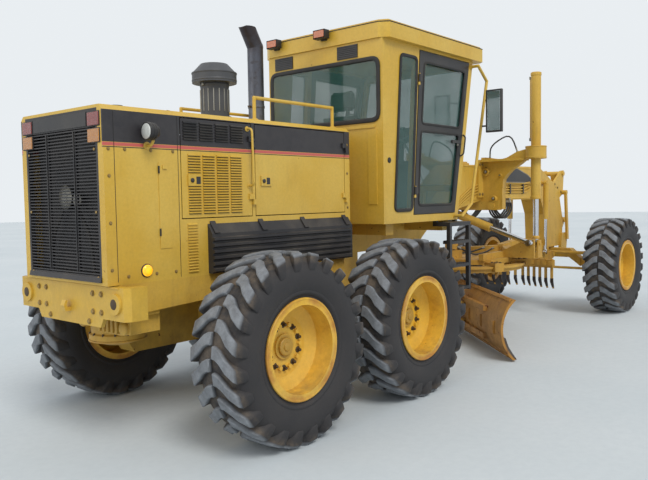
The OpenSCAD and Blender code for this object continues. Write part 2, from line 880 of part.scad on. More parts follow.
module cab_interior() {
    floor_z = cab_z0 + wall;
    x = cab_x0 + 900;
    color(GREY) {
        block([cab_x0 + wall, -cab_y + wall, floor_z], [cab_x1 - wall, cab_y - wall, floor_z + 12]);
        // Control column and its box, and the steering wheel
        slab_y([
            [x + 130, floor_z + 10], [x + 240, floor_z + 10],
            [x + 330, floor_z + 760], [x + 230, floor_z + 780]
        ], -110, 110);
        translate([x + 255, 0, floor_z + 760])
            rotate([0, -22, 0]) {
                cylinder(r = 26, h = 74);
                translate([0, 0, 60])
                    rotate_extrude()
                        translate([190, 0])
                            circle(r = 14);
                for (a = [0, 120, 240])
                    rotate([0, 90, a])
                        translate([-60, 0, 0])
                            cylinder(r = 11, h = 190);
            }
        // Side consoles
        both()
            block([cab_x0 + 260, 350, floor_z + 10], [cab_x0 + 760, 480, floor_z + 520]);
    }
}

module seat() {
    floor_z = cab_z0 + wall + 12;
    x = cab_x0 + 330;
    color(BLACK) {
        block([x + 60, -170, floor_z], [x + 400, 170, floor_z + 300]);
        block([x, -250, floor_z + 290], [x + 500, 250, floor_z + 430]);
        slab_y([
            [x, floor_z + 420], [x + 110, floor_z + 420],
            [x + 20, floor_z + 1010], [x - 70, floor_z + 1010]
        ], -240, 240);
    }
}

module cab_steps() {
    x0 = cab_x1 - 340;
    z0 = 710;
    z1 = cab_z0 - 20;
    y = cab_y + 70;
    color(BLACK)
        both() {
            for (x = [x0, x0 + 380])
                block([x, y, z0], [x + 40, y + 40, z1]);
            for (z = [z0 + 10, z0 + 250, z0 + 490])
                block([x0 + 30, y - 60, z], [x0 + 390, y + 40, z + 30]);
            block([x0, bearer_y, z1 - 40], [x0 + 420, y + 40, z1]);
            for (x = [x0, x0 + 380])
                block([x, bearer_y, z1 - 40], [x + 40, bearer_y + 40, cab_z0]);
        }
}

rail_r = 16;

module cab_rails() {
    y = cab_y + 90;
    foot = [cab_x1 - 60, cab_y, cab_z0 + 40];
    head_z = cab_z1 - 60;
    head = [cab_x1 - 34 + lean_x(head_z), cab_y, head_z];
    color(YELLOW)
        both() {
            tube([
                foot + [0, 6, 0], foot + [0, 90, 0], [cab_x1 + 130, y, cab_z0 + 160],
                [cab_x1 + 480, y, cab_z1 - 200], head + [0, 90, 0], head + [0, 6, 0]
            ], rail_r);
            // Flanges on the cab
            for (p = [foot, head])
                bar_y(p[0], cab_y, cab_y + 10, p[2], 26);
        }
}

module cab_fittings() {
    y = cab_y + 90;
    x = cab_x1 + 245;
    rail_slope = 350 / (cab_z1 - cab_z0 - 360);
    roof_x = cab_x0 - 20;
    color(BLACK) {
        both() {
            // Mirrors, on arms from the rails
            block([x, y + 120, 2344], [x + 30, y + 290, 2773]);
            for (z = [2420, 2700]) {
                arm_x = cab_x1 + 130 + (z - cab_z0 - 160) * rail_slope;
                bar_y(arm_x, y + rail_r + seat_gap, y + 150, z, 9);
                bar_x(x + 10, arm_x + 8, y + 141, z, 9);
            }
        }
        // Work lamps on the roof's rear edge
        for (lamp_y = [-60, 560]) {
            block([roof_x - 24, lamp_y - 30, cab_z1 + 60], [roof_x, lamp_y + 30, cab_z1 + 130]);
            block([roof_x - 90, lamp_y - 70, cab_z1 + 70], [roof_x - 20, lamp_y + 70, cab_z1 + 150]);
        }
        // Grids in the two vents over the rear window
        for (vent_y = [-315, 495])
            block([cab_x0 - 8, vent_y - 120, cab_z1 - 140], [cab_x0, vent_y + 120, cab_z1 - 20]);
    }
}

// The saddle: a plate beside the beam, and an arm out to a lift cylinder
clamp_r = barrel_r + 34;
clamp_z = beam_z1 + 110;
// Ends of the centre-shift cylinder, across the machine
shift_x = lift_x - 175;
shift_y0 = -lift_y + 10;
shift_z0 = axle_z + 445;
shift_y1 = 350;
shift_z1 = beam_z0 - 90;
// Side face of the drawbar's lug for it
lug_x = 44;

module lift_arms() {
    arm_t = 90;
    ring = clamp_r + 30;
    color(YELLOW) {
        both()
            difference() {
                union() {
                    // Saddle beside the beam, with the arm that curves out to the clamp
                    slab_x([
                        [beam_y, beam_z0 - 120], [440, beam_z0 - 110], [440, beam_z0 + 130],
                        [452, beam_z0 + 256], [500, beam_z0 + 316], [560, beam_z0 + 372],
                        [677, beam_z0 + 446], [760, clamp_z - 62], [lift_y, clamp_z - 62],
                        [lift_y, clamp_z + 62], [766, clamp_z + 62], [750, beam_z0 + 615],
                        [628, beam_z0 + 587], [502, beam_z0 + 524], [413, beam_z0 + 505],
                        [217, beam_z0 + 538], [beam_y, beam_z0 + 538]
                    ], lift_x - arm_t / 2, lift_x + arm_t / 2);
                    block([lift_x - 170, beam_y, beam_z0 + 40], [lift_x + 200, beam_y + 30, beam_z1 + 30]);
                    // Web that stiffens the arm
                    slab_z([
                        [lift_x - 150, beam_y + 10], [lift_x + 170, beam_y + 10], [lift_x + 70, lift_y - 120],
                        [lift_x - 70, lift_y - 120]
                    ], clamp_z - 90, clamp_z - 62);
                    bar_z(lift_x, lift_y, clamp_z - 75, clamp_z + 75, ring);
                }
                bar_z(lift_x, lift_y, clamp_z - 199, clamp_z + 199, clamp_r);
            }
        // Link bar under the beam, with cheeks for the centre-shift cylinder
        block([lift_x - 60, -400, beam_z0 - 120], [lift_x + 20, 400, beam_z0]);
        both()
            bar_x(lift_x - 80, lift_x + 60, 300, beam_z0 - 65, 48);
        for (x = [shift_x - 56, shift_x + 36])
            block([x, shift_y1 - 45, shift_z1 - 45], [x + 20, shift_y1 + 45, beam_z0 - 10]);
        bar_x(shift_x - 60, shift_x + 60, shift_y1, shift_z1, 24);
        block([shift_x - 56, shift_y1 - 45, beam_z0 - 30], [lift_x - 50, shift_y1 + 45, beam_z0 - 5]);
    }
}

// A cab door frame in the side wall, with two panes
module cab_door(side) {
    o = side_opening(door_x0 + seam, door_x1 - seam, cab_door_z0 + seam, cab_door_z1 - seam, 130);
    split = cab_door_z0 + 0.53 * (cab_door_z1 - cab_door_z0);
    color(BLACK)
        flip(side) {
            difference() {
                slab_y(o, cab_y - 34, cab_y + 4);
                slab_y(side_opening(door_x0 + 85, door_x1 - 75, cab_door_z0 + 90, split - 30, 60),
                    cab_y - 99, cab_y + 99);
                slab_y(side_opening(door_x0 + 155, door_x1 - 75, split + 40, cab_door_z1 - 110, 60),
                    cab_y - 99, cab_y + 99);
            }
            block([door_x1 - 60, cab_y + 3, split - 120], [door_x1 + 110, cab_y + 24, split - 90]);
            // Eyes round the hinge pins
            for (t = [0.12, 0.8])
                difference() {
                    union() {
                        rod(door_pin(t + 0.004), door_pin(t + 0.05), 13);
                        translate(door_pin(t + 0.004))
                            block([4, -12, 8], [46, 6, 60]);
                    }
                    rod(door_pin(t - 0.02), door_pin(t + 0.08), 7 + play);
                }
        }
}

module cab_door_right() {
    cab_door(-1);
}

module cab_door_left() {
    cab_door(1);
}

// The door's two panes, let into its frame
module door_glass(side) {
    split = cab_door_z0 + 0.53 * (cab_door_z1 - cab_door_z0);
    y = cab_y - 20;
    color(GLASS)
        flip(side) {
            slab_y(side_opening(door_x0 + 85, door_x1 - 75, cab_door_z0 + 90, split - 30, 60), y, y + pane);
            slab_y(side_opening(door_x0 + 155, door_x1 - 75, split + 40, cab_door_z1 - 110, 60), y, y + pane);
        }
}

module door_glass_right() {
    door_glass(-1);
}

module door_glass_left() {
    door_glass(1);
}

// Front axle and steering

king_y = front_y - 190;
lean_y = king_y - 170;
fork_z = axle_z + 20;
arm_l = 120;
arm_z = fork_z - 82;
arm_eye = 26;

module front_axle() {
    beam_z = leg_z - 90;
    beam_end = lean_y - 95;
    color(YELLOW)
        difference() {
            union() {
                slab_x([
                    [-beam_end, fork_z - 60], [-420, beam_z - 60], [420, beam_z - 60],
                    [beam_end, fork_z - 60], [beam_end, fork_z + 60],
                    [430, beam_z + 70], [-430, beam_z + 70], [-beam_end, fork_z + 60]
                ], nose_x - 70, nose_x + 70);
                // Pad up to the frame's leg
                block([nose_x - 80, -110, beam_z - 40], [nose_x + 130, 110, leg_z]);
                both() {
                    bar_x(nose_x - 50, nose_x + 50, lean_y, fork_z, 62);
                    block([nose_x - 50, beam_end - 15, fork_z - 50], [nose_x + 50, lean_y, fork_z + 50]);
                }
            }
            both()
                bar_x(nose_x - 200, nose_x + 200, lean_y, fork_z, 32 + play);
        }
}

// Leaning fork: two plates beside the axle's end, and a post for the kingpin
module lean_fork(side) {
    cheek = 50 + gap;
    color(YELLOW)
        flip(side)
            difference() {
                union() {
                    for (x = [nose_x - cheek - 26, nose_x + cheek])
                        slab_x([
                            [lean_y - 50, fork_z - 50], [lean_y + 104, fork_z - 50],
                            [lean_y + 104, fork_z + 130], [lean_y + 60, fork_z + 175],
                            [lean_y - 10, fork_z + 175], [lean_y - 50, fork_z + 60]
                        ], x, x + 26);
                    block([nose_x - cheek - 26, lean_y + 72, fork_z - 50],
                        [nose_x + cheek + 26, lean_y + 104, fork_z + 130]);
                    for (z = [fork_z - 50, fork_z + 90])
                        block([nose_x - 45, lean_y + 90, z], [nose_x + 45, king_y + 40, z + 40]);
                    bar_x(nose_x - cheek - 30, nose_x + cheek + 30, lean_y, fork_z, 32);
                    // Pin of the lean bar
                    bar_x(nose_x - 140, nose_x - cheek - 20, lean_y, fork_z + 140, 14);
                }
                bar_z(nose_x, king_y, fork_z - 99, fork_z + 199, 24 + play);
            }
}

module lean_fork_right() {
    lean_fork(-1);
}

module lean_fork_left() {
    lean_fork(1);
}

// Bar across the tops of both forks, which makes them lean together
module lean_bar() {
    x = nose_x - 122;
    z = fork_z + 140;
    color(YELLOW)
        difference() {
            union() {
                bar_y(x, -lean_y, lean_y, z, 24);
                both()
                    bar_x(x - 20, x + 24, lean_y, z, 30);
            }
            both()
                bar_x(x - 40, x + 60, lean_y, z, 14 + play);
        }
}

module knuckle(side) {
    z0 = fork_z - 10 + gap;
    z1 = fork_z + 90 - gap;
    color(YELLOW)
        flip(side) {
            block([nose_x - 45, king_y - 40, z0], [nose_x + 45, king_y + 80, z1]);
            bar_z(nose_x, king_y, arm_z - 13, fork_z + 120, 24);
            bar_y(nose_x, king_y + 70, front_y - 40, axle_z, 120);
            bar_y(nose_x, front_y - 60, front_y - 12, axle_z, hub_r);
            // Steering arm under the fork, back to the tie rod
            block([nose_x - arm_l, king_y - 30, arm_z - 13], [nose_x + 34, king_y + 30, arm_z + 13]);
            bar_z(nose_x - arm_l, king_y, arm_z - 13, arm_z + 13, arm_eye);
        }
}

module knuckle_right() {
    knuckle(-1);
}

module knuckle_left() {
    knuckle(1);
}

module tie_rod() {
    tube_r = 18;
    x = nose_x - arm_l - arm_eye - tube_r - seat_gap;
    color(YELLOW)
        bar_y(x, -king_y - 6, king_y + 6, arm_z, tube_r);
}

// Drawbar, circle and blade

draw_z0 = axle_z + 200;
draw_z1 = draw_z0 + 190;
ring_z0 = draw_z0 - 75;
ring_z1 = draw_z0 - gap;
blade_cz = blade_z + blade_h / 2;
// Blade's tip axis behind it, and its rails above and below the middle
tip_x = -262;
tip_z = blade_cz - 60;
rail_up = 150;
eye_z = draw_z0 + 235;
// Underside of the circle's flange, and the angle of the shoes that hold it
flange_z = ring_z1 - 27;
shoe_a = 62;

module drawbar() {
    arm = 110;
    cheek = 33;
    color(YELLOW) {
        // Two spreading arms and the plate over the circle
        difference() {
            slab_z([
                [ball_x - 1000, -100], [circle_x + 300, -560], [circle_x - 300, -560],
                [circle_x - 420, -330], [circle_x - 420, 330], [circle_x - 300, 560],
                [circle_x + 300, 560], [ball_x - 1000, 100]
            ], draw_z0, draw_z0 + 60);
            slab_z([
                [ball_x - 1350, -arm], [circle_x + 450, -300], [circle_x + 450, 300],
                [ball_x - 1350, arm]
            ], draw_z0 - 9, draw_z0 + 99);
        }
        both()
            slab_z([
                [ball_x - 1050, 0], [circle_x + 330, 440], [circle_x - 380, 440],
                [circle_x - 380, 500], [circle_x + 340, 500], [ball_x - 950, 80], [ball_x - 950, 0]
            ], draw_z0 + 50, draw_z1 - 60);
        // Tongue to the ball
        slab_y([
            [ball_x - 1100, draw_z0], [ball_x - 1100, draw_z1 - 40],
            [ball_x - 500, draw_z1 + 10], [ball_x - 60, ball_z + 42],
            [ball_x - 20, ball_z - 30], [ball_x - 500, draw_z0 + 75]
        ], -52, 52);
        translate([ball_x, 0, ball_z])
            sphere(r = ball_r);
        // Stubs with cheeks for the lift cylinders' eyes
        both() {
            slab_z([
                [lift_x - 130, 440], [lift_x + 130, 440], [lift_x + 60, lift_y + 55],
                [lift_x - 60, lift_y + 55]
            ], draw_z0 + 60, draw_z0 + 130);
            for (y = [lift_y - cheek - 20, lift_y + cheek])
                slab_y([
                    [lift_x - 58, draw_z0 + 120], [lift_x + 58, draw_z0 + 120],
                    [lift_x + 40, eye_z + 40], [lift_x - 40, eye_z + 40]
                ], y, y + 20);
        }
        // Heads of the lift cylinders' pins
        both()
            for (y = [lift_y - cheek - 30, lift_y + cheek + 19])
                bar_y(lift_x, y, y + 11, eye_z, 24);
        // Tabs over the circle's edge, and shoes bolted under them that hold it by its flange
        for (a = [-shoe_a, shoe_a, 180 - shoe_a, 180 + shoe_a])
            translate([circle_x, 0, 0])
                rotate([0, 0, a]) {
                    block([560, -60, draw_z0 + 1], [circle_r + 36, 60, draw_z0 + 34]);
                    block([circle_r + gap, -60, flange_z - 32], [circle_r + 36, 60, draw_z0 + 1 - seat_gap]);
                    block([circle_r - 24, -60, flange_z - 32], [circle_r + 36, 60, flange_z - seat_gap]);
                }
        // Lug and pin of the centre-shift cylinder, at the right end
        slab_x([
            [shift_y0 - 45, draw_z0 + 60], [-440, draw_z0 + 60], [-440, draw_z0 + 120],
            [shift_y0 + 50, shift_z0 + 40], [shift_y0 - 45, shift_z0 + 40]
        ], shift_x + lug_x, shift_x + lug_x + 30);
        bar_x(shift_x + lug_x + 29, shift_x + lug_x + 40, shift_y0, shift_z0, 24);
        // Circle drive
        bar_z(circle_x - 250, 0, draw_z0 + 50, draw_z1 - 30, 130);
    }
}

module blade_circle() {
    in_r = circle_r - 105;
    color(YELLOW)
        in_blade() {
            difference() {
                union() {
                    bar_z(0, 0, flange_z, ring_z1, circle_r);
                    bar_z(0, 0, ring_z0, flange_z + 1, circle_r - 35);
                }
                bar_z(0, 0, ring_z0 - 9, ring_z1 + 9, in_r);
            }
            // Legs down to the blade's carrier
            both()
                slab_y([
                    [-500, ring_z0 + 30], [-180, ring_z0 + 30], [-180, ring_z0 - 40],
                    [tip_x + 50, ring_z0 - 160], [tip_x + 50, tip_z - 45],
                    [tip_x - 50, tip_z - 45], [tip_x - 50, ring_z0 - 210], [-500, ring_z0 - 70]
                ], 460, 520);
            both()
                bar_y(tip_x, 470, 586, tip_z, 30);
        }
}

// Carrier: hangs on the legs, and the blade's rails slide in it
module blade_carrier() {
    y0 = 520 + gap;
    up = rail_up;
    z = blade_cz;
    jaw = 30.3;
    color(YELLOW)
        in_blade() {
            both()
                difference() {
                    slab_y([
                        [tip_x - 55, tip_z - 50], [tip_x + 40, tip_z - 60], [-190, z - up - 66],
                        [-142, z - up - 66], [-142, z - up - jaw], [-190, z - up - jaw],
                        [-190, z - up + jaw], [-142, z - up + jaw], [-142, z - up + 66],
                        [-190, z - up + 66], [-190, z + up - 66], [-142, z + up - 66],
                        [-142, z + up - jaw], [-190, z + up - jaw], [-190, z + up + jaw],
                        [-142, z + up + jaw], [-142, z + up + 66], [-220, z + up + 66],
                        [-235, z + 60], [tip_x - 55, tip_z + 50], [tip_x - 140, tip_z + 20],
                        [tip_x - 140, tip_z - 40]
                    ], y0, y0 + 60);
                    bar_y(tip_x, 500, 620, tip_z, 30 + play);
                }
            bar_y(tip_x - 112, -y0, y0, tip_z - 12, 26);
        }
}

module blade() {
    thick = 24;
    cx = sqrt(blade_r * blade_r - blade_h * blade_h / 4) + 15;
    half = blade_len / 2;
    rail_x = cx - sqrt((blade_r + thick) * (blade_r + thick) - rail_up * rail_up);
    color(YELLOW)
        in_blade() {
            translate([cx, half, blade_cz])
                rotate([90, 0, 0])
                    linear_extrude(blade_len)
                        intersection() {
                            difference() {
                                circle(r = blade_r + thick);
                                circle(r = blade_r);
                            }
                            translate([-blade_r - thick - 9, -blade_h / 2])
                                square([blade_r, blade_h]);
                        }
            // Rails along its back
            for (up = [-rail_up, rail_up])
                block([rail_x - 40, -half * 0.72, blade_cz + up - 30],
                    [rail_x + 8, half * 0.72, blade_cz + up + 30]);
        }
}

// Cylinders

module lift_barrel(side) {
    color(YELLOW)
        flip(side)
            difference() {
                union() {
                    bar_z(lift_x, lift_y, beam_z0 + 10, barrel_z1, barrel_r);
                    bar_z(lift_x, lift_y, clamp_z - 60, clamp_z + 60, clamp_r - gap);
                }
                bar_z(lift_x, lift_y, beam_z0 - 9, barrel_z1 - 120, rod_r + play);
            }
}

module lift_barrel_right() {
    lift_barrel(-1);
}

module lift_barrel_left() {
    lift_barrel(1);
}

module lift_rod(side) {
    eye_half = 27;
    color(STEEL)
        flip(side)
            union() {
                bar_z(lift_x, lift_y, eye_z + 30, barrel_z1 - 620, rod_r);
                bar_y(lift_x, lift_y - eye_half, lift_y + eye_half, eye_z, 46);
                bar_y(lift_x, lift_y - 33 + seat_gap, lift_y + 33 - seat_gap, eye_z, 24);
            }
}

module lift_rod_right() {
    lift_rod(-1);
}

module lift_rod_left() {
    lift_rod(1);
}

// Centre-shift cylinder, from the link bar down to the drawbar's right end
shift_top = [shift_x, shift_y1, shift_z1];
shift_low = [shift_x, shift_y0, shift_z0];
shift_u = (shift_low - shift_top) / norm(shift_low - shift_top);

module shift_barrel() {
    color(YELLOW)
        difference() {
            union() {
                rod(shift_top + 90 * shift_u, shift_top + 740 * shift_u, 52);
                rod(shift_top, shift_top + 95 * shift_u, 28);
                bar_x(shift_x - 30, shift_x + 30, shift_y1, shift_z1, 44);
            }
            rod(shift_top + 130 * shift_u, shift_top + 800 * shift_u, 30 + play);
            bar_x(shift_x - 99, shift_x + 99, shift_y1, shift_z1, 24 + play);
        }
}

module shift_rod() {
    color(STEEL) {
        rod(shift_top + 430 * shift_u, shift_low - 20 * shift_u, 30);
        bar_x(shift_x - 33, shift_x + 33, shift_y0, shift_z0, 38);
        bar_x(shift_x - 39, shift_x + 35, shift_y0, shift_z0, 24);
    }
}

// Scarifier: a V of teeth on two arms

scar_x = front_axle_x - 738;
scar_y = 500;
scar_open = 160;
scar_z0 = teeth_z + 300;

// Cylinders from the brackets on the beam down to lugs on the arms
scar_a = [cyl_x, cyl_y, cyl_z];
scar_b = [cyl_x - 30, cyl_y, scar_z0 + 190];
scar_u = (scar_b - scar_a) / norm(scar_b - scar_a);

module scarifier() {
    step = scar_y * 2 / (teeth - 1);
    color(YELLOW) {
        slab_z([
            [scar_x - 50, 0], [scar_x - scar_open - 50, -scar_y - 30], [scar_x - scar_open + 20, -scar_y - 30],
            [scar_x + 60, 0], [scar_x - scar_open + 20, scar_y + 30], [scar_x - scar_open - 50, scar_y + 30]
        ], scar_z0, scar_z0 + 110);
        for (i = [0 : teeth - 1]) {
            y = -scar_y + i * step;
            x = scar_x - scar_open * abs(y) / scar_y;
            slab_y([
                [x - 16, scar_z0 + 120], [x + 26, scar_z0 + 120],
                [x + 26, teeth_z + 120], [x + 60, teeth_z], [x - 16, teeth_z + 110]
            ], y - 13, y + 13);
        }
        // Arms to the pivots, with lugs and pins for the cylinders
        both() {
            difference() {
                slab_y([
                    [scar_x - 80, scar_z0 + 10], [scar_x + 250, scar_z0 + 10],
                    [pivot_x + 30, pivot_z - 42], [pivot_x + 50, pivot_z], [pivot_x + 30, pivot_z + 42],
                    [pivot_x - 40, pivot_z + 50], [scar_b[0] + 70, scar_z0 + 160],
                    [scar_b[0] + 30, scar_b[2] + 40], [scar_b[0] - 35, scar_b[2] + 40],
                    [scar_b[0] - 80, scar_z0 + 105], [scar_x - 80, scar_z0 + 105]
                ], pivot_y, pivot_y + 50);
                bar_y(pivot_x, pivot_y - 9, pivot_y + 99, pivot_z, 30 + play);
            }
        }
    }
}

module scarifier_barrel() {
    color(YELLOW)
        both()
            difference() {
                union() {
                    rod(scar_a + 20 * scar_u, scar_a + 520 * scar_u, 40);
                    bar_y(cyl_x, cyl_y - 22, cyl_y + 22, cyl_z, 42);
                }
                rod(scar_a + 120 * scar_u, scar_a + 560 * scar_u, 20 + play);
                bar_y(cyl_x, cyl_y - 99, cyl_y + 99, cyl_z, 22 + play);
            }
}

module scarifier_rod() {
    color(STEEL)
        both()
            union() {
                rod(scar_a + 320 * scar_u, scar_b - 16 * scar_u, 20);
                bar_y(scar_b[0], cyl_y - 20, cyl_y + 20, scar_b[2], 36);
                bar_y(scar_b[0], pivot_y + 50 + seat_gap, cyl_y + 28, scar_b[2], 18);
            }
}

rear_frame();
engine_block();
hood();
grille();
bumper();
tail_lamps();
air_precleaner();
exhaust_stack();
side_covers();
tandem_cases();
engine_door_right_rear();
engine_door_right_front();
engine_door_left_rear();
engine_door_left_front();
tyre_right_rear();
tyre_right_mid();
tyre_right_front();
tyre_left_rear();
tyre_left_mid();
tyre_left_front();
rim_right_rear();
rim_right_mid();
rim_right_front();
rim_left_rear();
rim_left_mid();
rim_left_front();
front_frame();
cab_shell();
cab_roof();
cab_glass();
cab_interior();
seat();
cab_steps();
cab_rails();
cab_fittings();
lift_arms();
cab_door_right();
cab_door_left();
door_glass_right();
door_glass_left();
front_axle();
lean_fork_right();
lean_fork_left();
lean_bar();
knuckle_right();
knuckle_left();
tie_rod();
drawbar();
blade_circle();
blade_carrier();
blade();
lift_barrel_right();
lift_barrel_left();
lift_rod_right();
lift_rod_left();
shift_barrel();
shift_rod();
scarifier();
scarifier_barrel();
scarifier_rod();
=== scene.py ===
"""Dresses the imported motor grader: tyres, lamps, seals, louvres, pads, hoses and finishes."""

import math

import bmesh
import bpy
from mathutils import Matrix, Vector


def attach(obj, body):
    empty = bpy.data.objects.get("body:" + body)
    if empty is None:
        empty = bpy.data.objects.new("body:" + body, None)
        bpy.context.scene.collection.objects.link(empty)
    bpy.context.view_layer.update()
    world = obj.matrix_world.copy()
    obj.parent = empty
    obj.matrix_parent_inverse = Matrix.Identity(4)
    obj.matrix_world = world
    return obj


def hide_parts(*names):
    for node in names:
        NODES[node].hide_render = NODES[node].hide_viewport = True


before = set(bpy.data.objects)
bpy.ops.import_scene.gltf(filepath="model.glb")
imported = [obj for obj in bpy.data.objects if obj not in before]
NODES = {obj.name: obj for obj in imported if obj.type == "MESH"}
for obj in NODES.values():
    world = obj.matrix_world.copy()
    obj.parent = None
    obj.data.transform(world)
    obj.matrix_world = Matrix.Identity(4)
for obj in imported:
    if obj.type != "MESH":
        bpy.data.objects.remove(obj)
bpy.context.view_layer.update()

# Places from the part's source, in metres
TM = -2.488
AXLES = {"rear": -3.2505, "mid": -1.7255, "front": 3.610}
REAR_Y, FRONT_Y, AXLE_Z = 1.0685, 1.0415, 0.665
LUGS = 24
HOOD_Y, HOOD_Z0, HOOD_Z1 = 0.521, 1.150, 2.300
GRILLE_X = TM - 1.775
REAR_END = TM - 1.690
CAB_X0, CAB_X1, CAB_Y, CAB_Z0, CAB_Z1, CAB_LEAN = -1.538, -0.228, 0.710, 1.440, 3.110, 0.340
DOOR_X0, DOOR_X1, DOOR_Z0, DOOR_Z1 = -1.058, -0.298, 1.510, 3.090
BEAM_Y, BEAM_Z0, BEAM_Z1 = 0.1525, 1.620, 2.080
LIFT_X, LIFT_Y = 1.387, 0.855
CIRCLE_X, BLADE_TURN = 1.112, math.radians(-44)
BLADE_CZ, BLADE_R, BLADE_HALF = 0.325, 0.413, 1.829
BLADE_CX = math.sqrt(BLADE_R ** 2 - 0.305 ** 2) + 0.015
NOSE_X = 3.610
MOTOR_X = CIRCLE_X - 0.25
SIDES = (("right", -1), ("left", 1))

# The camera's place in metres, its yaw, pitch and roll in degrees, its lens and sensor in millimetres
CAMERA_AT, CAMERA_TURN = (-6.739, -4.442, 1.690), (40.557, -3.440, -0.943)
CAMERA_LENS, CAMERA_SENSOR = 39.2, 36.0

# Heights of the hood's black band, the red line under it and the thin black line under that
BAND, RED_LINE, BLACK_LINE = (2.064, 2.266), (2.040, 2.062), (2.030, 2.036)

# How far each tyre's tread is turned from the same start, in degrees
TREAD_TURN = {"rear": 3, "mid": 8, "front": 0}
CASING_SIDES = 120


def lean_x(z):
    """How far forward the cab's front leans at a height."""
    return CAB_LEAN * (z - CAB_Z0) / (CAB_Z1 - CAB_Z0)


def turns(n, start=0.0):
    """n angles evenly round a circle."""
    return [2 * math.pi * (k + start) / n for k in range(n)]


def add_camera():
    """A camera at the photograph's place."""
    yaw, pitch, roll = (math.radians(a) for a in CAMERA_TURN)
    ahead = Vector((math.cos(yaw) * math.cos(pitch), math.sin(yaw) * math.cos(pitch), math.sin(pitch)))
    right = ahead.cross(Vector((0, 0, 1))).normalized()
    up = right.cross(ahead)
    right, up = (
        math.cos(roll) * right + math.sin(roll) * up,
        math.cos(roll) * up - math.sin(roll) * right,
    )
    data = bpy.data.cameras.new("photo_camera")
    data.lens, data.sensor_width = CAMERA_LENS, CAMERA_SENSOR
    data.clip_end = 200
    cam = bpy.data.objects.new("photo_camera", data)
    bpy.context.scene.collection.objects.link(cam)
    cam.matrix_world = Matrix.Translation(CAMERA_AT) @ Matrix(
        [[right[i], up[i], -ahead[i]] for i in range(3)]
    ).to_4x4()
    bpy.context.scene.camera = cam


add_camera()

# Shader nodes


def tree_of(name):
    """A new material, its node tree and its shader."""
    mat = bpy.data.materials.new(name)
    mat.use_nodes = True
    return mat, mat.node_tree, mat.node_tree.nodes["Principled BSDF"]


def put(tree, kind, links=None, **values):
    """A node with its settings, and its inputs given by name: a socket to link or a value."""
    node = tree.nodes.new(kind)
    for key, value in values.items():
        setattr(node, key, value)
    for key, value in (links or {}).items():
        sock = node.inputs[key]
        if isinstance(value, bpy.types.NodeSocket):
            tree.links.new(value, sock)
        else:
            sock.default_value = value
    return node


def place_in(tree):
    """Where a shaded point lies, in object coordinates."""
    return tree.nodes.new("ShaderNodeTexCoord").outputs["Object"]


def upward(tree):
    """How far a surface faces up."""
    normal = tree.nodes.new("ShaderNodeNewGeometry").outputs["Normal"]
    return put(tree, "ShaderNodeSeparateXYZ", {0: normal}).outputs["Z"]


def sine(tree, value, factor):
    """Waves along a value, from -1 to 1."""
    scaled = calc(tree, "MULTIPLY", value, factor)
    return put(tree, "ShaderNodeMath", {0: scaled}, operation="SINE").outputs[0]


def raised(tree, shader, height, strength, distance=0.002):
    """Bump on a material's own shader."""
    bump = put(tree, "ShaderNodeBump", {"Height": height, "Strength": strength, "Distance": distance})
    tree.links.new(bump.outputs[0], shader.inputs["Normal"])


def calc(tree, how, a, b=0.0, clamp=False):
    return put(tree, "ShaderNodeMath", {0: a, 1: b}, operation=how, use_clamp=clamp).outputs[0]


def ramp(tree, value, lo, hi, to_lo=0.0, to_hi=1.0):
    return put(tree, "ShaderNodeMapRange", {
        "Value": value, "From Min": lo, "From Max": hi, "To Min": to_lo, "To Max": to_hi,
    }).outputs[0]


def blend_colours(tree, mask, a, b):
    node = put(tree, "ShaderNodeMix", data_type="RGBA")
    for key, value in ((0, mask), (6, a), (7, b)):
        if isinstance(value, bpy.types.NodeSocket):
            tree.links.new(value, node.inputs[key])
        else:
            node.inputs[key].default_value = value
    return node.outputs[2]


def noise(tree, where, scale, detail=3.0, rough=0.55):
    return put(tree, "ShaderNodeTexNoise", {
        "Vector": where, "Scale": scale, "Detail": detail, "Roughness": rough,
    }).outputs["Fac"]


def stretched(tree, where, factors):
    return put(tree, "ShaderNodeVectorMath", {0: where, 1: factors}, operation="MULTIPLY").outputs[0]


def srgb(r, g, b):
    """A colour as a screen shows it, 0 to 255, in the units a shader takes."""
    def lin(v):
        v /= 255
        return v / 12.92 if v <= 0.04045 else ((v + 0.055) / 1.055) ** 2.4
    return (lin(r), lin(g), lin(b), 1.0)


def group(name, inputs, outputs):
    tree = bpy.data.node_groups.new(name, "ShaderNodeTree")
    for key, kind, value in inputs:
        sock = tree.interface.new_socket(key, in_out="INPUT", socket_type=kind)
        sock.default_value = value
    for key, kind in outputs:
        tree.interface.new_socket(key, in_out="OUTPUT", socket_type=kind)
    return tree, tree.nodes.new("NodeGroupInput").outputs, tree.nodes.new("NodeGroupOutput").inputs


F, C = "NodeSocketFloat", "NodeSocketColor"


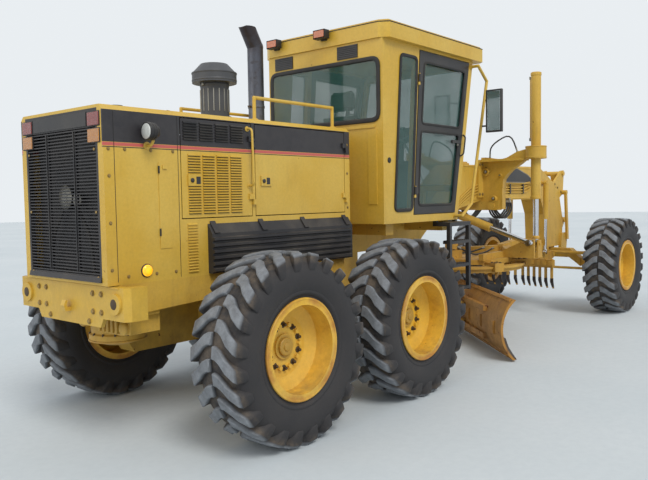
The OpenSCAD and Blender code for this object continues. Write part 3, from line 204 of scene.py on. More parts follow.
def make_weathering():
    """Paint that has stood outside: faded patches, dirt that thickens downwards, streaks and rust."""
    tree, i, o = group("weathered_paint", [
        ("Paint", C, srgb(214, 166, 70)), ("Faded", C, srgb(226, 186, 104)),
        ("Dirt", C, srgb(122, 100, 70)), ("Rust", C, srgb(104, 58, 34)),
        ("Patch Scale", F, 1.6), ("Dirt Amount", F, 0.5), ("Dirt Top", F, 1.4),
        ("Streaks", F, 0.3), ("Rust Amount", F, 0.2), ("Gloss", F, 0.42),
    ], [("Color", C), ("Roughness", F), ("Height", F)])
    at = place_in(tree)
    sep = put(tree, "ShaderNodeSeparateXYZ", {0: at})
    patches = ramp(tree, noise(tree, at, i["Patch Scale"], 5.0, 0.6), 0.36, 0.68)
    fine = noise(tree, at, 46.0, 4.0, 0.7)
    runs = ramp(tree, noise(tree, stretched(tree, at, (11, 11, 0.9)), 1.0, 4.0, 0.6), 0.52, 0.78)
    shelf = ramp(tree, upward(tree), 0.55, 1.0, 0.0, 0.55)
    low = put(tree, "ShaderNodeMapRange", {
        "Value": sep.outputs["Z"], "From Min": i["Dirt Top"], "From Max": 0.15,
    }).outputs[0]
    mud = ramp(tree, noise(tree, at, 5.5, 6.0, 0.68), 0.34, 0.66)
    dirt = calc(tree, "ADD", calc(tree, "MULTIPLY", low, mud), calc(tree, "MULTIPLY", shelf, mud))
    dirt = calc(tree, "ADD", dirt, calc(tree, "MULTIPLY", runs, i["Streaks"]))
    dirt = calc(tree, "MULTIPLY", dirt, i["Dirt Amount"], clamp=True)
    chip_edge = calc(tree, "SUBTRACT", 0.74, calc(tree, "MULTIPLY", i["Rust Amount"], 0.2))
    chips = calc(tree, "GREATER_THAN", noise(tree, at, 21.0, 5.0, 0.62), chip_edge)
    stain = calc(tree, "MULTIPLY",
                 ramp(tree, noise(tree, stretched(tree, at, (6, 6, 2.4)), 1.0, 5.0, 0.65), 0.56, 0.74),
                 i["Rust Amount"])
    base = blend_colours(tree, patches, i["Paint"], i["Faded"])
    tone = put(tree, "ShaderNodeHueSaturation", {
        "Color": base, "Value": ramp(tree, fine, 0.3, 0.7, 0.93, 1.05),
    }).outputs[0]
    colour = blend_colours(tree, dirt, tone, i["Dirt"])
    colour = blend_colours(tree, calc(tree, "MAXIMUM", chips, stain, clamp=True), colour, i["Rust"])
    tree.links.new(colour, o["Color"])
    worn = calc(tree, "MULTIPLY", calc(tree, "ADD", dirt, chips, clamp=True), 0.4)
    worn = calc(tree, "ADD", worn, calc(tree, "MULTIPLY", patches, 0.1))
    rough = calc(tree, "ADD", i["Gloss"], worn, clamp=True)
    tree.links.new(rough, o["Roughness"])
    height = calc(tree, "SUBTRACT", calc(tree, "MULTIPLY", fine, 0.5), calc(tree, "MULTIPLY", chips, 0.7))
    height = calc(tree, "ADD", height, calc(tree, "MULTIPLY", calc(tree, "MULTIPLY", dirt, mud), 0.6))
    tree.links.new(height, o["Height"])
    return tree


def make_grain():
    """A moulded or cast grain: a colour that varies a little, with its roughness and height."""
    tree, i, o = group("surface_grain", [
        ("Tone", C, srgb(40, 40, 42)), ("Dust", C, srgb(120, 112, 100)),
        ("Grain Scale", F, 90.0), ("Dust Amount", F, 0.3), ("Gloss", F, 0.5),
    ], [("Color", C), ("Roughness", F), ("Height", F)])
    at = place_in(tree)
    grain = noise(tree, at, i["Grain Scale"], 3.0, 0.6)
    cloud = ramp(tree, noise(tree, at, 3.2, 6.0, 0.65), 0.38, 0.68)
    lie = calc(tree, "ADD", ramp(tree, upward(tree), 0.2, 1.0, 0.0, 0.7), 0.3)
    dust = calc(tree, "MULTIPLY", calc(tree, "MULTIPLY", cloud, lie), i["Dust Amount"], clamp=True)
    tree.links.new(blend_colours(tree, dust, i["Tone"], i["Dust"]), o["Color"])
    worn = calc(tree, "ADD", calc(tree, "MULTIPLY", grain, 0.14), calc(tree, "MULTIPLY", dust, 0.35))
    rough = calc(tree, "ADD", i["Gloss"], worn, clamp=True)
    tree.links.new(rough, o["Roughness"])
    tree.links.new(grain, o["Height"])
    return tree


WEATHER = make_weathering()
GRAIN = make_grain()


def finish_with(tree, shader, source, strength):
    """Links a group's roughness and height to the material's own shader."""
    tree.links.new(source.outputs["Roughness"], shader.inputs["Roughness"])
    raised(tree, shader, source.outputs["Height"], strength)


def use(tree, shared, values):
    """A shared node group in a material's tree, with its inputs set."""
    node = tree.nodes.new("ShaderNodeGroup")
    node.node_tree = shared
    for key, value in values.items():
        node.inputs[key].default_value = value
    return node


def painted(name, bump=0.25, **values):
    """Weathered paint, its inputs given by name."""
    mat, tree, shader = tree_of(name)
    g = use(tree, WEATHER, {k.replace("_", " "): v for k, v in values.items()})
    tree.links.new(g.outputs["Color"], shader.inputs["Base Color"])
    finish_with(tree, shader, g, bump)
    return mat


def grained(name, tone, dust=(120, 112, 100), scale=90.0, dust_amount=0.3, gloss=0.5, bump=0.2, metallic=0.0):
    """A grained surface: plastic, rubber, black paint or cast metal."""
    mat, tree, shader = tree_of(name)
    g = use(tree, GRAIN, {
        "Tone": srgb(*tone), "Dust": srgb(*dust), "Grain Scale": scale,
        "Dust Amount": dust_amount, "Gloss": gloss,
    })
    tree.links.new(g.outputs["Color"], shader.inputs["Base Color"])
    shader.inputs["Metallic"].default_value = metallic
    finish_with(tree, shader, g, bump)
    return mat


YELLOW, FADED = srgb(207, 166, 54), srgb(215, 180, 82)


def hood_paint():
    """Yellow with the black band and the red line under it along both sides."""
    mat, tree, shader = tree_of("hood_yellow")
    g = use(tree, WEATHER, {"Paint": YELLOW, "Faded": FADED, "Dirt Amount": 0.34, "Dirt Top": 1.7,
                            "Streaks": 0.22, "Rust Amount": 0.12, "Gloss": 0.36})
    at = place_in(tree)
    sep = put(tree, "ShaderNodeSeparateXYZ", {0: at})
    z = sep.outputs["Z"]
    side = calc(tree, "GREATER_THAN", calc(tree, "ABSOLUTE", sep.outputs["Y"]), HOOD_Y - 0.013)

    def between(lo, hi):
        inside = calc(tree, "MULTIPLY", calc(tree, "GREATER_THAN", z, lo), calc(tree, "LESS_THAN", z, hi))
        return calc(tree, "MULTIPLY", side, inside)
    scuff = ramp(tree, noise(tree, at, 8.0, 6.0, 0.7), 0.35, 0.75, 0.0, 0.35)
    black = blend_colours(tree, scuff, srgb(40, 38, 42), srgb(78, 74, 72))
    red = blend_colours(tree, scuff, srgb(200, 92, 84), srgb(184, 112, 96))
    colour = blend_colours(tree, between(*BAND), g.outputs["Color"], black)
    colour = blend_colours(tree, between(*RED_LINE), colour, red)
    colour = blend_colours(tree, between(*BLACK_LINE), colour, black)
    tree.links.new(colour, shader.inputs["Base Color"])
    finish_with(tree, shader, g, 0.2)
    return mat


def rim_paint(name, x):
    """Yellow rims with a rust ring at the flange and grey dirt low in the dish."""
    mat, tree, shader = tree_of(name)
    g = use(tree, WEATHER, {"Paint": srgb(228, 180, 54), "Faded": srgb(232, 190, 84), "Dirt Amount": 0.55,
                            "Dirt Top": 0.75, "Streaks": 0.15, "Rust Amount": 0.1, "Gloss": 0.4})
    at = place_in(tree)
    mid = put(tree, "ShaderNodeMapping", {"Vector": at, "Location": (-x, 0, -AXLE_Z), "Scale": (1, 0, 1)})
    r = put(tree, "ShaderNodeVectorMath", {0: mid.outputs[0]}, operation="LENGTH").outputs["Value"]
    ragged = calc(tree, "ADD", r, ramp(tree, noise(tree, at, 14.0, 5.0, 0.7), 0.2, 0.8, -0.02, 0.02))
    spots = ramp(tree, noise(tree, at, 6.0), 0.3, 0.6)
    ring = calc(tree, "MULTIPLY", ramp(tree, ragged, 0.300, 0.330), spots)
    colour = blend_colours(tree, calc(tree, "MULTIPLY", ring, 0.6), g.outputs["Color"], srgb(150, 74, 34))
    grease = calc(tree, "MULTIPLY", ramp(tree, ragged, 0.115, 0.07), 0.5)
    colour = blend_colours(tree, grease, colour, srgb(96, 70, 44))
    tree.links.new(colour, shader.inputs["Base Color"])
    finish_with(tree, shader, g, 0.35)
    return mat


def rubber():
    """Tread tops worn lighter and bluish, sides dark and dusty, by how far out a point is."""
    mat, tree, shader = tree_of("tyre_rubber")
    g = use(tree, GRAIN, {"Tone": srgb(42, 41, 43), "Dust": srgb(98, 91, 86), "Grain Scale": 70.0,
                          "Dust Amount": 0.4, "Gloss": 0.62})
    at = place_in(tree)
    r = put(tree, "ShaderNodeAttribute", attribute_name="radius").outputs["Fac"]
    scrub = ramp(tree, noise(tree, at, 16.0, 6.0, 0.7), 0.3, 0.7, 0.45, 1.0)
    top = calc(tree, "MULTIPLY", ramp(tree, r, 0.634, 0.652), scrub, clamp=True)
    colour = blend_colours(tree, top, g.outputs["Color"], srgb(132, 137, 143))
    silt = calc(tree, "MULTIPLY", ramp(tree, r, 0.585, 0.625),
                ramp(tree, noise(tree, at, 7.0, 6.0, 0.7), 0.42, 0.66, 0.0, 0.6), clamp=True)
    silt = calc(tree, "SUBTRACT", silt, top, clamp=True)
    colour = blend_colours(tree, silt, colour, srgb(118, 104, 88))
    tree.links.new(colour, shader.inputs["Base Color"])
    tree.links.new(g.outputs["Roughness"], shader.inputs["Roughness"])
    rings = calc(tree, "MULTIPLY", sine(tree, r, 900.0), ramp(tree, r, 0.50, 0.44, 0.0, 0.35))
    raised(tree, shader, calc(tree, "ADD", g.outputs["Height"], rings), 0.35, 0.003)
    return mat


def glass(name, tint, alpha=0.36):
    """Tinted cab glass with a thin film of dust."""
    mat, tree, shader = tree_of(name)
    g = use(tree, GRAIN, {"Tone": srgb(*tint), "Dust": srgb(112, 140, 136), "Grain Scale": 30.0,
                          "Dust Amount": 0.22, "Gloss": 0.03})
    tree.links.new(g.outputs["Color"], shader.inputs["Base Color"])
    at = place_in(tree)
    film = ramp(tree, noise(tree, at, 2.4, 5.0, 0.6), 0.3, 0.7, alpha - 0.08, alpha + 0.1)
    tree.links.new(film, shader.inputs["Alpha"])
    shader.inputs["Roughness"].default_value = 0.06
    shader.inputs["Specular IOR Level"].default_value = 0.7
    return mat


def lens(name, tint, deep, glow=0.0):
    """A fluted plastic lens."""
    mat, tree, shader = tree_of(name)
    at = place_in(tree)
    sep = put(tree, "ShaderNodeSeparateXYZ", {0: at})
    flute = sine(tree, sep.outputs["Y"], 520.0)
    cells = noise(tree, at, 60.0, 2.0)
    colour = blend_colours(tree, ramp(tree, flute, -1.0, 1.0), srgb(*tint), srgb(*deep))
    colour = blend_colours(tree, ramp(tree, cells, 0.4, 0.7, 0.0, 0.35), colour, srgb(*deep))
    tree.links.new(colour, shader.inputs["Base Color"])
    shader.inputs["Roughness"].default_value = 0.16
    shader.inputs["Coat Weight"].default_value = 0.6
    if glow:
        tree.links.new(colour, shader.inputs["Emission Color"])
        shader.inputs["Emission Strength"].default_value = glow
    raised(tree, shader, flute, 0.5)
    return mat


def brushed(name, tone, stain, gloss=0.2, metallic=1.0, axis=(60, 60, 2), stain_amount=0.5):
    """Bare metal with fine lines along it and stains."""
    mat, tree, shader = tree_of(name)
    at = place_in(tree)
    lines = noise(tree, stretched(tree, at, axis), 4.0, 4.0, 0.7)
    blots = ramp(tree, noise(tree, at, 4.5, 6.0, 0.7), 0.45, 0.68, 0.0, stain_amount)
    base = blend_colours(tree, ramp(tree, lines, 0.3, 0.7, 0.0, 0.3), srgb(*tone), srgb(*stain))
    tree.links.new(blend_colours(tree, blots, base, srgb(*stain)), shader.inputs["Base Color"])
    shader.inputs["Metallic"].default_value = metallic
    dull = calc(tree, "ADD", gloss - 0.09, calc(tree, "MULTIPLY", blots, 0.4))
    rough = calc(tree, "ADD", calc(tree, "MULTIPLY", lines, 0.18), dull, clamp=True)
    tree.links.new(rough, shader.inputs["Roughness"])
    raised(tree, shader, lines, 0.12, 0.001)
    return mat


def heated_steel():
    """Exhaust pipe: grey steel that turns brown and blue towards its hot end."""
    mat, tree, shader = tree_of("exhaust_steel")
    at = place_in(tree)
    z = put(tree, "ShaderNodeSeparateXYZ", {0: at}).outputs["Z"]
    wav = calc(tree, "ADD", z, ramp(tree, noise(tree, at, 6.0, 5.0, 0.6), 0.2, 0.8, -0.12, 0.12))
    colour = blend_colours(tree, ramp(tree, wav, 2.35, 2.8), srgb(112, 114, 120), srgb(84, 86, 94))
    colour = blend_colours(tree, ramp(tree, wav, 2.98, 3.14, 0.0, 0.75), colour, srgb(58, 48, 46))
    blots = ramp(tree, noise(tree, at, 18.0, 6.0, 0.7), 0.5, 0.7, 0.0, 0.6)
    colour = blend_colours(tree, blots, colour, srgb(70, 62, 60))
    tree.links.new(colour, shader.inputs["Base Color"])
    shader.inputs["Metallic"].default_value = 0.7
    tree.links.new(ramp(tree, blots, 0.0, 0.6, 0.38, 0.75), shader.inputs["Roughness"])
    raised(tree, shader, blots, 0.2, 0.001)
    return mat


def cloth():
    """Woven seat cloth: two crossing sets of threads over a mottled dark grey."""
    mat, tree, shader = tree_of("seat_cloth")
    at = place_in(tree)
    waves = [put(tree, "ShaderNodeTexWave", {"Vector": at, "Scale": 140.0, "Distortion": 0.6},
                 bands_direction=d).outputs["Fac"] for d in ("X", "Y", "Z")]
    weave = calc(tree, "MULTIPLY", calc(tree, "ADD", waves[0], waves[1]), calc(tree, "ADD", waves[2], 0.5))
    mottle = ramp(tree, noise(tree, at, 9.0, 5.0, 0.6), 0.35, 0.7)
    colour = blend_colours(tree, mottle, srgb(52, 54, 58), srgb(74, 76, 80))
    colour = blend_colours(tree, ramp(tree, weave, 0.4, 2.2, 0.0, 0.5), colour, srgb(98, 100, 104))
    tree.links.new(colour, shader.inputs["Base Color"])
    shader.inputs["Roughness"].default_value = 0.88
    shader.inputs["Sheen Weight"].default_value = 0.35
    raised(tree, shader, weave, 0.3, 0.001)
    return mat


FINISH = {
    "hood": hood_paint(),
    "cab": painted("cab_yellow", Paint=YELLOW, Faded=FADED, Dirt_Amount=0.3, Dirt_Top=1.9, Streaks=0.3,
                   Rust_Amount=0.1, Gloss=0.36),
    "frame": painted("frame_yellow", 0.4, Paint=srgb(204, 160, 54), Faded=srgb(214, 176, 78),
                     Dirt_Amount=0.5, Dirt_Top=1.7, Streaks=0.35, Rust_Amount=0.28, Gloss=0.46),
    "under": painted("underside_yellow", 0.5, Paint=srgb(192, 144, 48), Faded=srgb(206, 164, 68),
                     Dirt_Amount=0.75, Dirt_Top=1.3, Streaks=0.4, Rust_Amount=0.3, Gloss=0.5),
    "blade": painted("blade_worn", 0.6, Paint=srgb(196, 140, 46), Faded=srgb(170, 122, 58),
                     Dirt=srgb(112, 84, 58), Rust=srgb(104, 56, 36), Patch_Scale=3.2, Dirt_Amount=0.7,
                     Dirt_Top=0.9, Streaks=0.4, Rust_Amount=0.42, Gloss=0.5),
    "black": grained("black_paint", (34, 34, 37), scale=60, dust_amount=0.45, gloss=0.36),
    "plastic": grained("black_plastic", (38, 37, 40), scale=120, dust_amount=0.5, gloss=0.46, bump=0.3),
    "seal": grained("window_seal", (24, 24, 26), scale=160, dust_amount=0.35, gloss=0.55),
    "hose": grained("hose_rubber", (30, 30, 32), scale=200, dust_amount=0.45, gloss=0.5),
    "grille": grained("grille_black", (36, 35, 38), dust=(110, 100, 92), scale=50, dust_amount=0.5,
                      gloss=0.42),
    "radiator": grained("radiator_grey", (58, 58, 60), dust=(112, 104, 94), scale=25, dust_amount=0.6,
                        gloss=0.6),
    "precleaner": grained("precleaner_grey", (66, 68, 72), dust=(120, 116, 108), scale=70, dust_amount=0.4,
                          gloss=0.4),
    "inside": grained("cab_trim", (60, 60, 62), scale=150, dust_amount=0.3, gloss=0.6),
    "cast": grained("cast_iron", (86, 84, 80), scale=40, dust_amount=0.5, gloss=0.62, metallic=0.4, bump=0.5),
    "bolt": grained("bolt_steel", (150, 124, 70), dust=(104, 80, 56), scale=60, dust_amount=0.5, gloss=0.45,
                    metallic=0.3),
    "dark_bolt": grained("dark_bolt_steel", (82, 68, 52), dust=(104, 86, 66), scale=60, dust_amount=0.4,
                         gloss=0.5, metallic=0.5),
    "fitting": brushed("zinc_fitting", (150, 148, 140), (110, 98, 78), 0.35, 0.9, (30, 30, 30)),
    "chrome": brushed("chrome_rod", (222, 224, 228), (150, 146, 140), 0.12, 1.0, (80, 80, 3), 0.25),
    "edge": brushed("worn_edge_steel", (112, 108, 106), (70, 54, 46), 0.36, 0.85, (8, 8, 60), 0.7),
    "tooth": brushed("dark_tooth_steel", (74, 66, 62), (52, 40, 36), 0.45, 0.8, (10, 10, 40), 0.6),
    "mirror": brushed("mirror_face", (214, 220, 222), (196, 202, 204), 0.06, 1.0, (3, 3, 3), 0.1),
    "stack": heated_steel(),
    "rubber": rubber(),
    "glass": glass("cab_glass_green", (58, 98, 92), 0.42),
    "red": lens("red_lens", (150, 52, 42), (104, 34, 30)),
    "amber": lens("amber_lens", (206, 140, 54), (160, 98, 34)),
    "bright_amber": lens("amber_marker", (255, 196, 40), (244, 160, 20), 0.9),
    "orange": lens("orange_lens", (222, 132, 84), (176, 92, 56)),
    "clear": lens("clear_lens", (226, 228, 222), (180, 184, 182)),
    "cloth": cloth(),
}
FINISH.update({f"rim_{k}": rim_paint(f"rim_yellow_{k}", x) for k, x in AXLES.items()})

NODE_FINISH = {
    "hood": "hood engine_door_right_rear engine_door_right_front engine_door_left_rear"
            " engine_door_left_front",
    "cab": "bumper cab_shell cab_roof cab_rails",
    "frame": "rear_frame tandem_cases front_frame lift_arms front_axle lean_fork_right lean_fork_left"
             " lean_bar knuckle_right knuckle_left tie_rod lift_barrel_right lift_barrel_left shift_barrel"
             " scarifier_barrel",
    "under": "drawbar blade_circle blade_carrier scarifier",
    "blade": "blade",
    "black": "cab_steps cab_door_right cab_door_left cab_fittings",
    "plastic": "side_covers",
    "grille": "grille",
    "radiator": "engine_block",
    "precleaner": "air_precleaner",
    "stack": "exhaust_stack",
    "inside": "cab_interior",
    "cloth": "seat",
    "red": "tail_lamps",
    "chrome": "lift_rod_right lift_rod_left shift_rod scarifier_rod",
    "glass": "cab_glass door_glass_right door_glass_left",
    "rubber": " ".join(f"tyre_{s}_{p}" for s in ("right", "left") for p in AXLES),
}
NODE_FINISH.update({f"rim_{p}": f"rim_right_{p} rim_left_{p}" for p in AXLES})


def dress_nodes():
    """Each solid's finish, in every slot that it has."""
    for key, names in NODE_FINISH.items():
        for name in names.split():
            mesh = NODES[name].data
            if not mesh.materials:
                mesh.materials.append(FINISH[key])
            for k in range(len(mesh.materials)):
                mesh.materials[k] = FINISH[key]


dress_nodes()

# Mesh building


def smooth(mesh, degrees=35):
    for p in mesh.polygons:
        p.use_smooth = True
    mesh.set_sharp_from_angle(angle=math.radians(degrees))


def link(name, mesh):
    obj = bpy.data.objects.new(name, mesh)
    bpy.context.scene.collection.objects.link(obj)
    return obj


def mesh_of(name, bm):
    """The mesh of a bmesh, which is freed."""
    mesh = bpy.data.meshes.new(name)
    bm.to_mesh(mesh)
    bm.free()
    return mesh


class Piece:
    """Closed shapes gathered into one mesh, then made an object that rides on a body."""

    def __init__(self, name, body, *finishes):
        self.name, self.body, self.finishes = name, body, finishes
        self.bm = bmesh.new()
        self.at = Matrix.Identity(4)
        self.finish = 0

    def _add(self, points, faces):
        verts = [self.bm.verts.new(self.at @ Vector(p)) for p in points]
        for f in faces:
            self.bm.faces.new([verts[i] for i in f]).material_index = self.finish

    def loft(self, rings, closed=False):
        """A skin through rings of the same number of points, capped unless it closes on itself."""
        n, m = len(rings[0]), len(rings)
        faces = []
        for k in range(m if closed else m - 1):
            a, b = k * n, (k + 1) % m * n
            faces += [[a + i, a + (i + 1) % n, b + (i + 1) % n, b + i] for i in range(n)]
        if not closed:
            faces += [list(range(n)), list(range((m - 1) * n, m * n))]
        self._add([p for ring in rings for p in ring], faces)

    def prism(self, outline, axis, lo, hi):
        """An outline in the plane across axis, drawn out from lo to hi."""
        def place(p, t):
            return {"x": (t, p[0], p[1]), "y": (p[0], t, p[1]), "z": (p[0], p[1], t)}[axis]
        self.loft([[place(p, lo) for p in outline], [place(p, hi) for p in outline]])

    def block(self, a, b):
        self.prism([(a[0], a[1]), (b[0], a[1]), (b[0], b[1]), (a[0], b[1])], "z", a[2], b[2])

    def tube(self, points, r, sides=10, bend=0.0, flat=1.0):
        """A tube through points; bend rounds its corners with arcs that start this far from them."""
        pts = [Vector(p) for p in points]
        if bend:
            soft = [pts[0]]
            for a, b, c in zip(pts, pts[1:], pts[2:]):
                p = b + (a - b).normalized() * min(bend, (a - b).length / 2.1)
                q = b + (c - b).normalized() * min(bend, (c - b).length / 2.1)
                soft += [p.lerp(b, t).lerp(b.lerp(q, t), t) for t in (0, 0.25, 0.5, 0.75, 1)]
            pts = soft + [pts[-1]]
        ways = [(b - a).normalized() for a, b in zip(pts, pts[1:])]
        ways = [ways[0]] + [(a + b).normalized() for a, b in zip(ways, ways[1:])] + [ways[-1]]
        side = ways[0].orthogonal().normalized()
        rings = []
        for p, way in zip(pts, ways):
            side = (side - way * side.dot(way)).normalized()
            other = way.cross(side)
            rings.append([p + r * (math.cos(t) * side + flat * math.sin(t) * other) for t in turns(sides)])
        self.loft(rings)

    def lathe(self, profile, centre, way, sides=32):
        """A profile of (radius, distance along way) turned round centre."""
        way = Vector(way).normalized()
        u = way.orthogonal().normalized()
        v = way.cross(u)
        centre = Vector(centre)
        rings = [[centre + way * t + max(r, 0.0004) * (math.cos(a) * u + math.sin(a) * v)
                  for a in turns(sides)] for r, t in profile]
        self.loft(rings)

    def bar(self, p, q, r, sides=20):
        p, q = Vector(p), Vector(q)
        self.lathe([(r, 0), (r, (q - p).length)], p, q - p, sides)

    def done(self, round_off=0.0025):
        """The object, its edges rounded, set on its body."""
        bmesh.ops.recalc_face_normals(self.bm, faces=self.bm.faces)
        mesh = mesh_of(self.name, self.bm)
        for key in self.finishes:
            mesh.materials.append(FINISH[key])
        smooth(mesh)
        obj = link(self.name, mesh)
        if round_off:
            mod = obj.modifiers.new("rounded", "BEVEL")
            mod.width, mod.segments, mod.limit_method = round_off, 2, "ANGLE"
            mod.angle_limit = math.radians(38)
            mod.use_clamp_overlap = True
        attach(obj, self.body)
        return obj


# Repeats by Geometry Nodes


def repeat_tree():
    """Places copies of a unit in rows and turns, joins them and gives them a finish."""
    tree = bpy.data.node_groups.new("repeat_unit", "GeometryNodeTree")
    face = tree.interface
    face.new_socket("Geometry", in_out="INPUT", socket_type="NodeSocketGeometry")
    for key, kind in (("Unit", "Object"), ("Count", "Int"), ("Row Length", "Int"), ("Step", "Vector"),
                      ("Row Step", "Vector"), ("Turn", "Float"), ("Turn Axis", "Vector"),
                      ("Start Turn", "Float"), ("Finish", "Material")):
        face.new_socket(key, in_out="INPUT", socket_type="NodeSocket" + kind)
    face.new_socket("Geometry", in_out="OUTPUT", socket_type="NodeSocketGeometry")
    i, o = tree.nodes.new("NodeGroupInput").outputs, tree.nodes.new("NodeGroupOutput").inputs
    index = tree.nodes.new("GeometryNodeInputIndex").outputs[0]
    col = calc(tree, "FLOORED_MODULO", index, i["Row Length"])
    row = calc(tree, "FLOOR", calc(tree, "DIVIDE", index, i["Row Length"]))

    def times(vec, n):
        return put(tree, "ShaderNodeVectorMath", {0: vec, "Scale": n}, operation="SCALE").outputs[0]
    place = put(tree, "ShaderNodeVectorMath", {0: times(i["Step"], col), 1: times(i["Row Step"], row)})
    angle = calc(tree, "ADD", calc(tree, "MULTIPLY", index, i["Turn"]), i["Start Turn"])
    turn = put(tree, "FunctionNodeAxisAngleToRotation", {"Axis": i["Turn Axis"], "Angle": angle})
    points = put(tree, "GeometryNodePoints", {"Count": i["Count"], "Position": place.outputs[0]})
    unit = put(tree, "GeometryNodeObjectInfo", {"Object": i["Unit"]}, transform_space="ORIGINAL")
    copies = put(tree, "GeometryNodeInstanceOnPoints", {
        "Points": points.outputs[0], "Instance": unit.outputs["Geometry"], "Rotation": turn.outputs[0],
    })
    whole = put(tree, "GeometryNodeRealizeInstances", {"Geometry": copies.outputs[0]})
    done = put(tree, "GeometryNodeSetMaterial", {"Geometry": whole.outputs[0], "Material": i["Finish"]})
    tree.links.new(done.outputs[0], o["Geometry"])
    return tree


REPEAT = repeat_tree()


def evaluated(obj):
    """The plain mesh of an object with its modifiers."""
    return bpy.data.meshes.new_from_object(obj.evaluated_get(bpy.context.evaluated_depsgraph_get()))


def repeated(name, unit, finish, **values):
    """The plain mesh that the repeat tree makes of a unit mesh."""
    unit_obj = link(name + "_unit", unit)
    obj = link(name, bpy.data.meshes.new(name + "_seed"))
    mod = obj.modifiers.new("repeat", "NODES")
    mod.node_group = REPEAT
    ids = {s.name: s.identifier for s in REPEAT.interface.items_tree if s.in_out == "INPUT"}
    fixed = {"Count": 1, "Row Length": 1, "Turn": 0.0, "Turn Axis": (0.0, 1.0, 0.0), "Start Turn": 0.0,
             "Step": (0.0, 0.0, 0.0), "Row Step": (0.0, 0.0, 0.0)}
    fixed.update({k.replace("_", " "): v for k, v in values.items()})
    for key, value in fixed.items():
        mod[ids[key]] = value
    mod[ids["Unit"]] = unit_obj
    mod[ids["Finish"]] = FINISH[finish]
    obj.update_tag()
    bpy.context.view_layer.update()
    mesh = evaluated(obj)
    mesh.name = name
    obj.modifiers.remove(mod)
    bpy.data.objects.remove(obj)
    bpy.data.objects.remove(unit_obj)
    return mesh


def unit_mesh(name, build, round_off=0.0):
    """A small closed mesh from a function that fills a Piece."""
    shape = Piece(name, None)
    build(shape)
    bmesh.ops.recalc_face_normals(shape.bm, faces=shape.bm.faces)
    if round_off:
        bmesh.ops.bevel(shape.bm, geom=[e for e in shape.bm.edges if e.calc_face_angle(0) > 0.6],
                        offset=round_off, segments=1, affect="EDGES", clamp_overlap=True)
    return mesh_of(name, shape.bm)


def row_piece(name, body, unit, finish, at, **values):
    """A repeated unit put in its place and set on a body."""
    mesh = repeated(name, unit, finish, **values)
    mesh.transform(at)
    smooth(mesh)
    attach(link(name, mesh), body)


def facing(centre, out, up=(0, 0, 1)):
    """A frame whose Z points out of a surface and whose Y points up it."""
    z = Vector(out).normalized()
    y = Vector(up)
    y = (y - z * y.dot(z)).normalized()
    x = y.cross(z)
    return Matrix.Translation(centre) @ Matrix([[x[k], y[k], z[k]] for k in range(3)]).to_4x4()


def bolt_unit(r=0.014, h=0.011):
    def build(p):
        p.lathe([(r * 1.35, 0), (r * 1.35, h * 0.3)], (0, 0, 0), (0, 0, 1), 12)
        p.lathe([(r, h * 0.3), (r, h * 0.85), (r * 0.85, h)], (0, 0, 0), (0, 0, 1), 6)
    return unit_mesh("bolt", build)


def bolts(name, body, places, finish="bolt", r=0.014):
    """Hexagon bolts at places of (point, way out), as one piece."""
    bm = bmesh.new()
    unit = bolt_unit(r, r * 0.8)
    for point, out in places:
        copy = unit.copy()
        upright = abs(Vector(out).normalized().z) < 0.9
        copy.transform(facing(point, out, (0, 0, 1) if upright else (1, 0, 0)))
        bm.from_mesh(copy)
        bpy.data.meshes.remove(copy)
    mesh = mesh_of(name, bm)
    mesh.materials.append(FINISH[finish])
    smooth(mesh)
    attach(link(name, mesh), body)


# Tyres


def lug_unit():
    """One tread bar: a stub near the middle, then down and out to a wedge on the side."""
    rows = [
        (0.616, 0.009, 0.665, 0.011, 3.4, 4.3, 3.5), (0.616, 0.040, 0.665, 0.040, 3.1, 4.3, 3.5),
        (0.616, 0.078, 0.665, 0.078, 1.4, 4.4, 3.6), (0.612, 0.128, 0.664, 0.132, -3.2, 4.6, 3.8),
        (0.596, 0.168, 0.657, 0.196, -7.0, 4.8, 3.9), (0.575, 0.190, 0.640, 0.216, -8.4, 4.8, 3.8),
        (0.552, 0.204, 0.596, 0.2222, -9.6, 4.2, 3.3), (0.532, 0.210, 0.548, 0.2222, -10.4, 3.4, 2.5),
    ]

    def build(p):
        rings = []
        for r0, y0, r1, y1, mid, low, top in rows:
            corners = [(r0, y0, mid - low), (r1, y1, mid - top), (r1, y1, mid + top), (r0, y0, mid + low)]
            rings.append([(r * math.sin(math.radians(a)), y, r * math.cos(math.radians(a)))
                          for r, y, a in corners])
        p.loft(rings)
    return unit_mesh("lug", build, 0.005)


def casing():
    """The tyre's body: bead, side with its rim guard, shoulder and crown, closed round the bore."""
    half = [(0.318, 0.150), (0.322, 0.170), (0.345, 0.1785), (0.366, 0.1785), (0.376, 0.188), (0.384, 0.197),
            (0.396, 0.199), (0.404, 0.196), (0.420, 0.203), (0.455, 0.2135), (0.500, 0.2190), (0.540, 0.2165),
            (0.575, 0.203), (0.600, 0.182), (0.618, 0.150), (0.628, 0.105), (0.632, 0.050), (0.633, 0.0)]
    profile = half + [(r, -y) for r, y in reversed(half[:-1])]

    def build(p):
        rings = [[(r * math.sin(a), y, r * math.cos(a)) for r, y in profile] for a in turns(CASING_SIDES)]
        p.loft(rings, closed=True)
    return unit_mesh("casing", build)


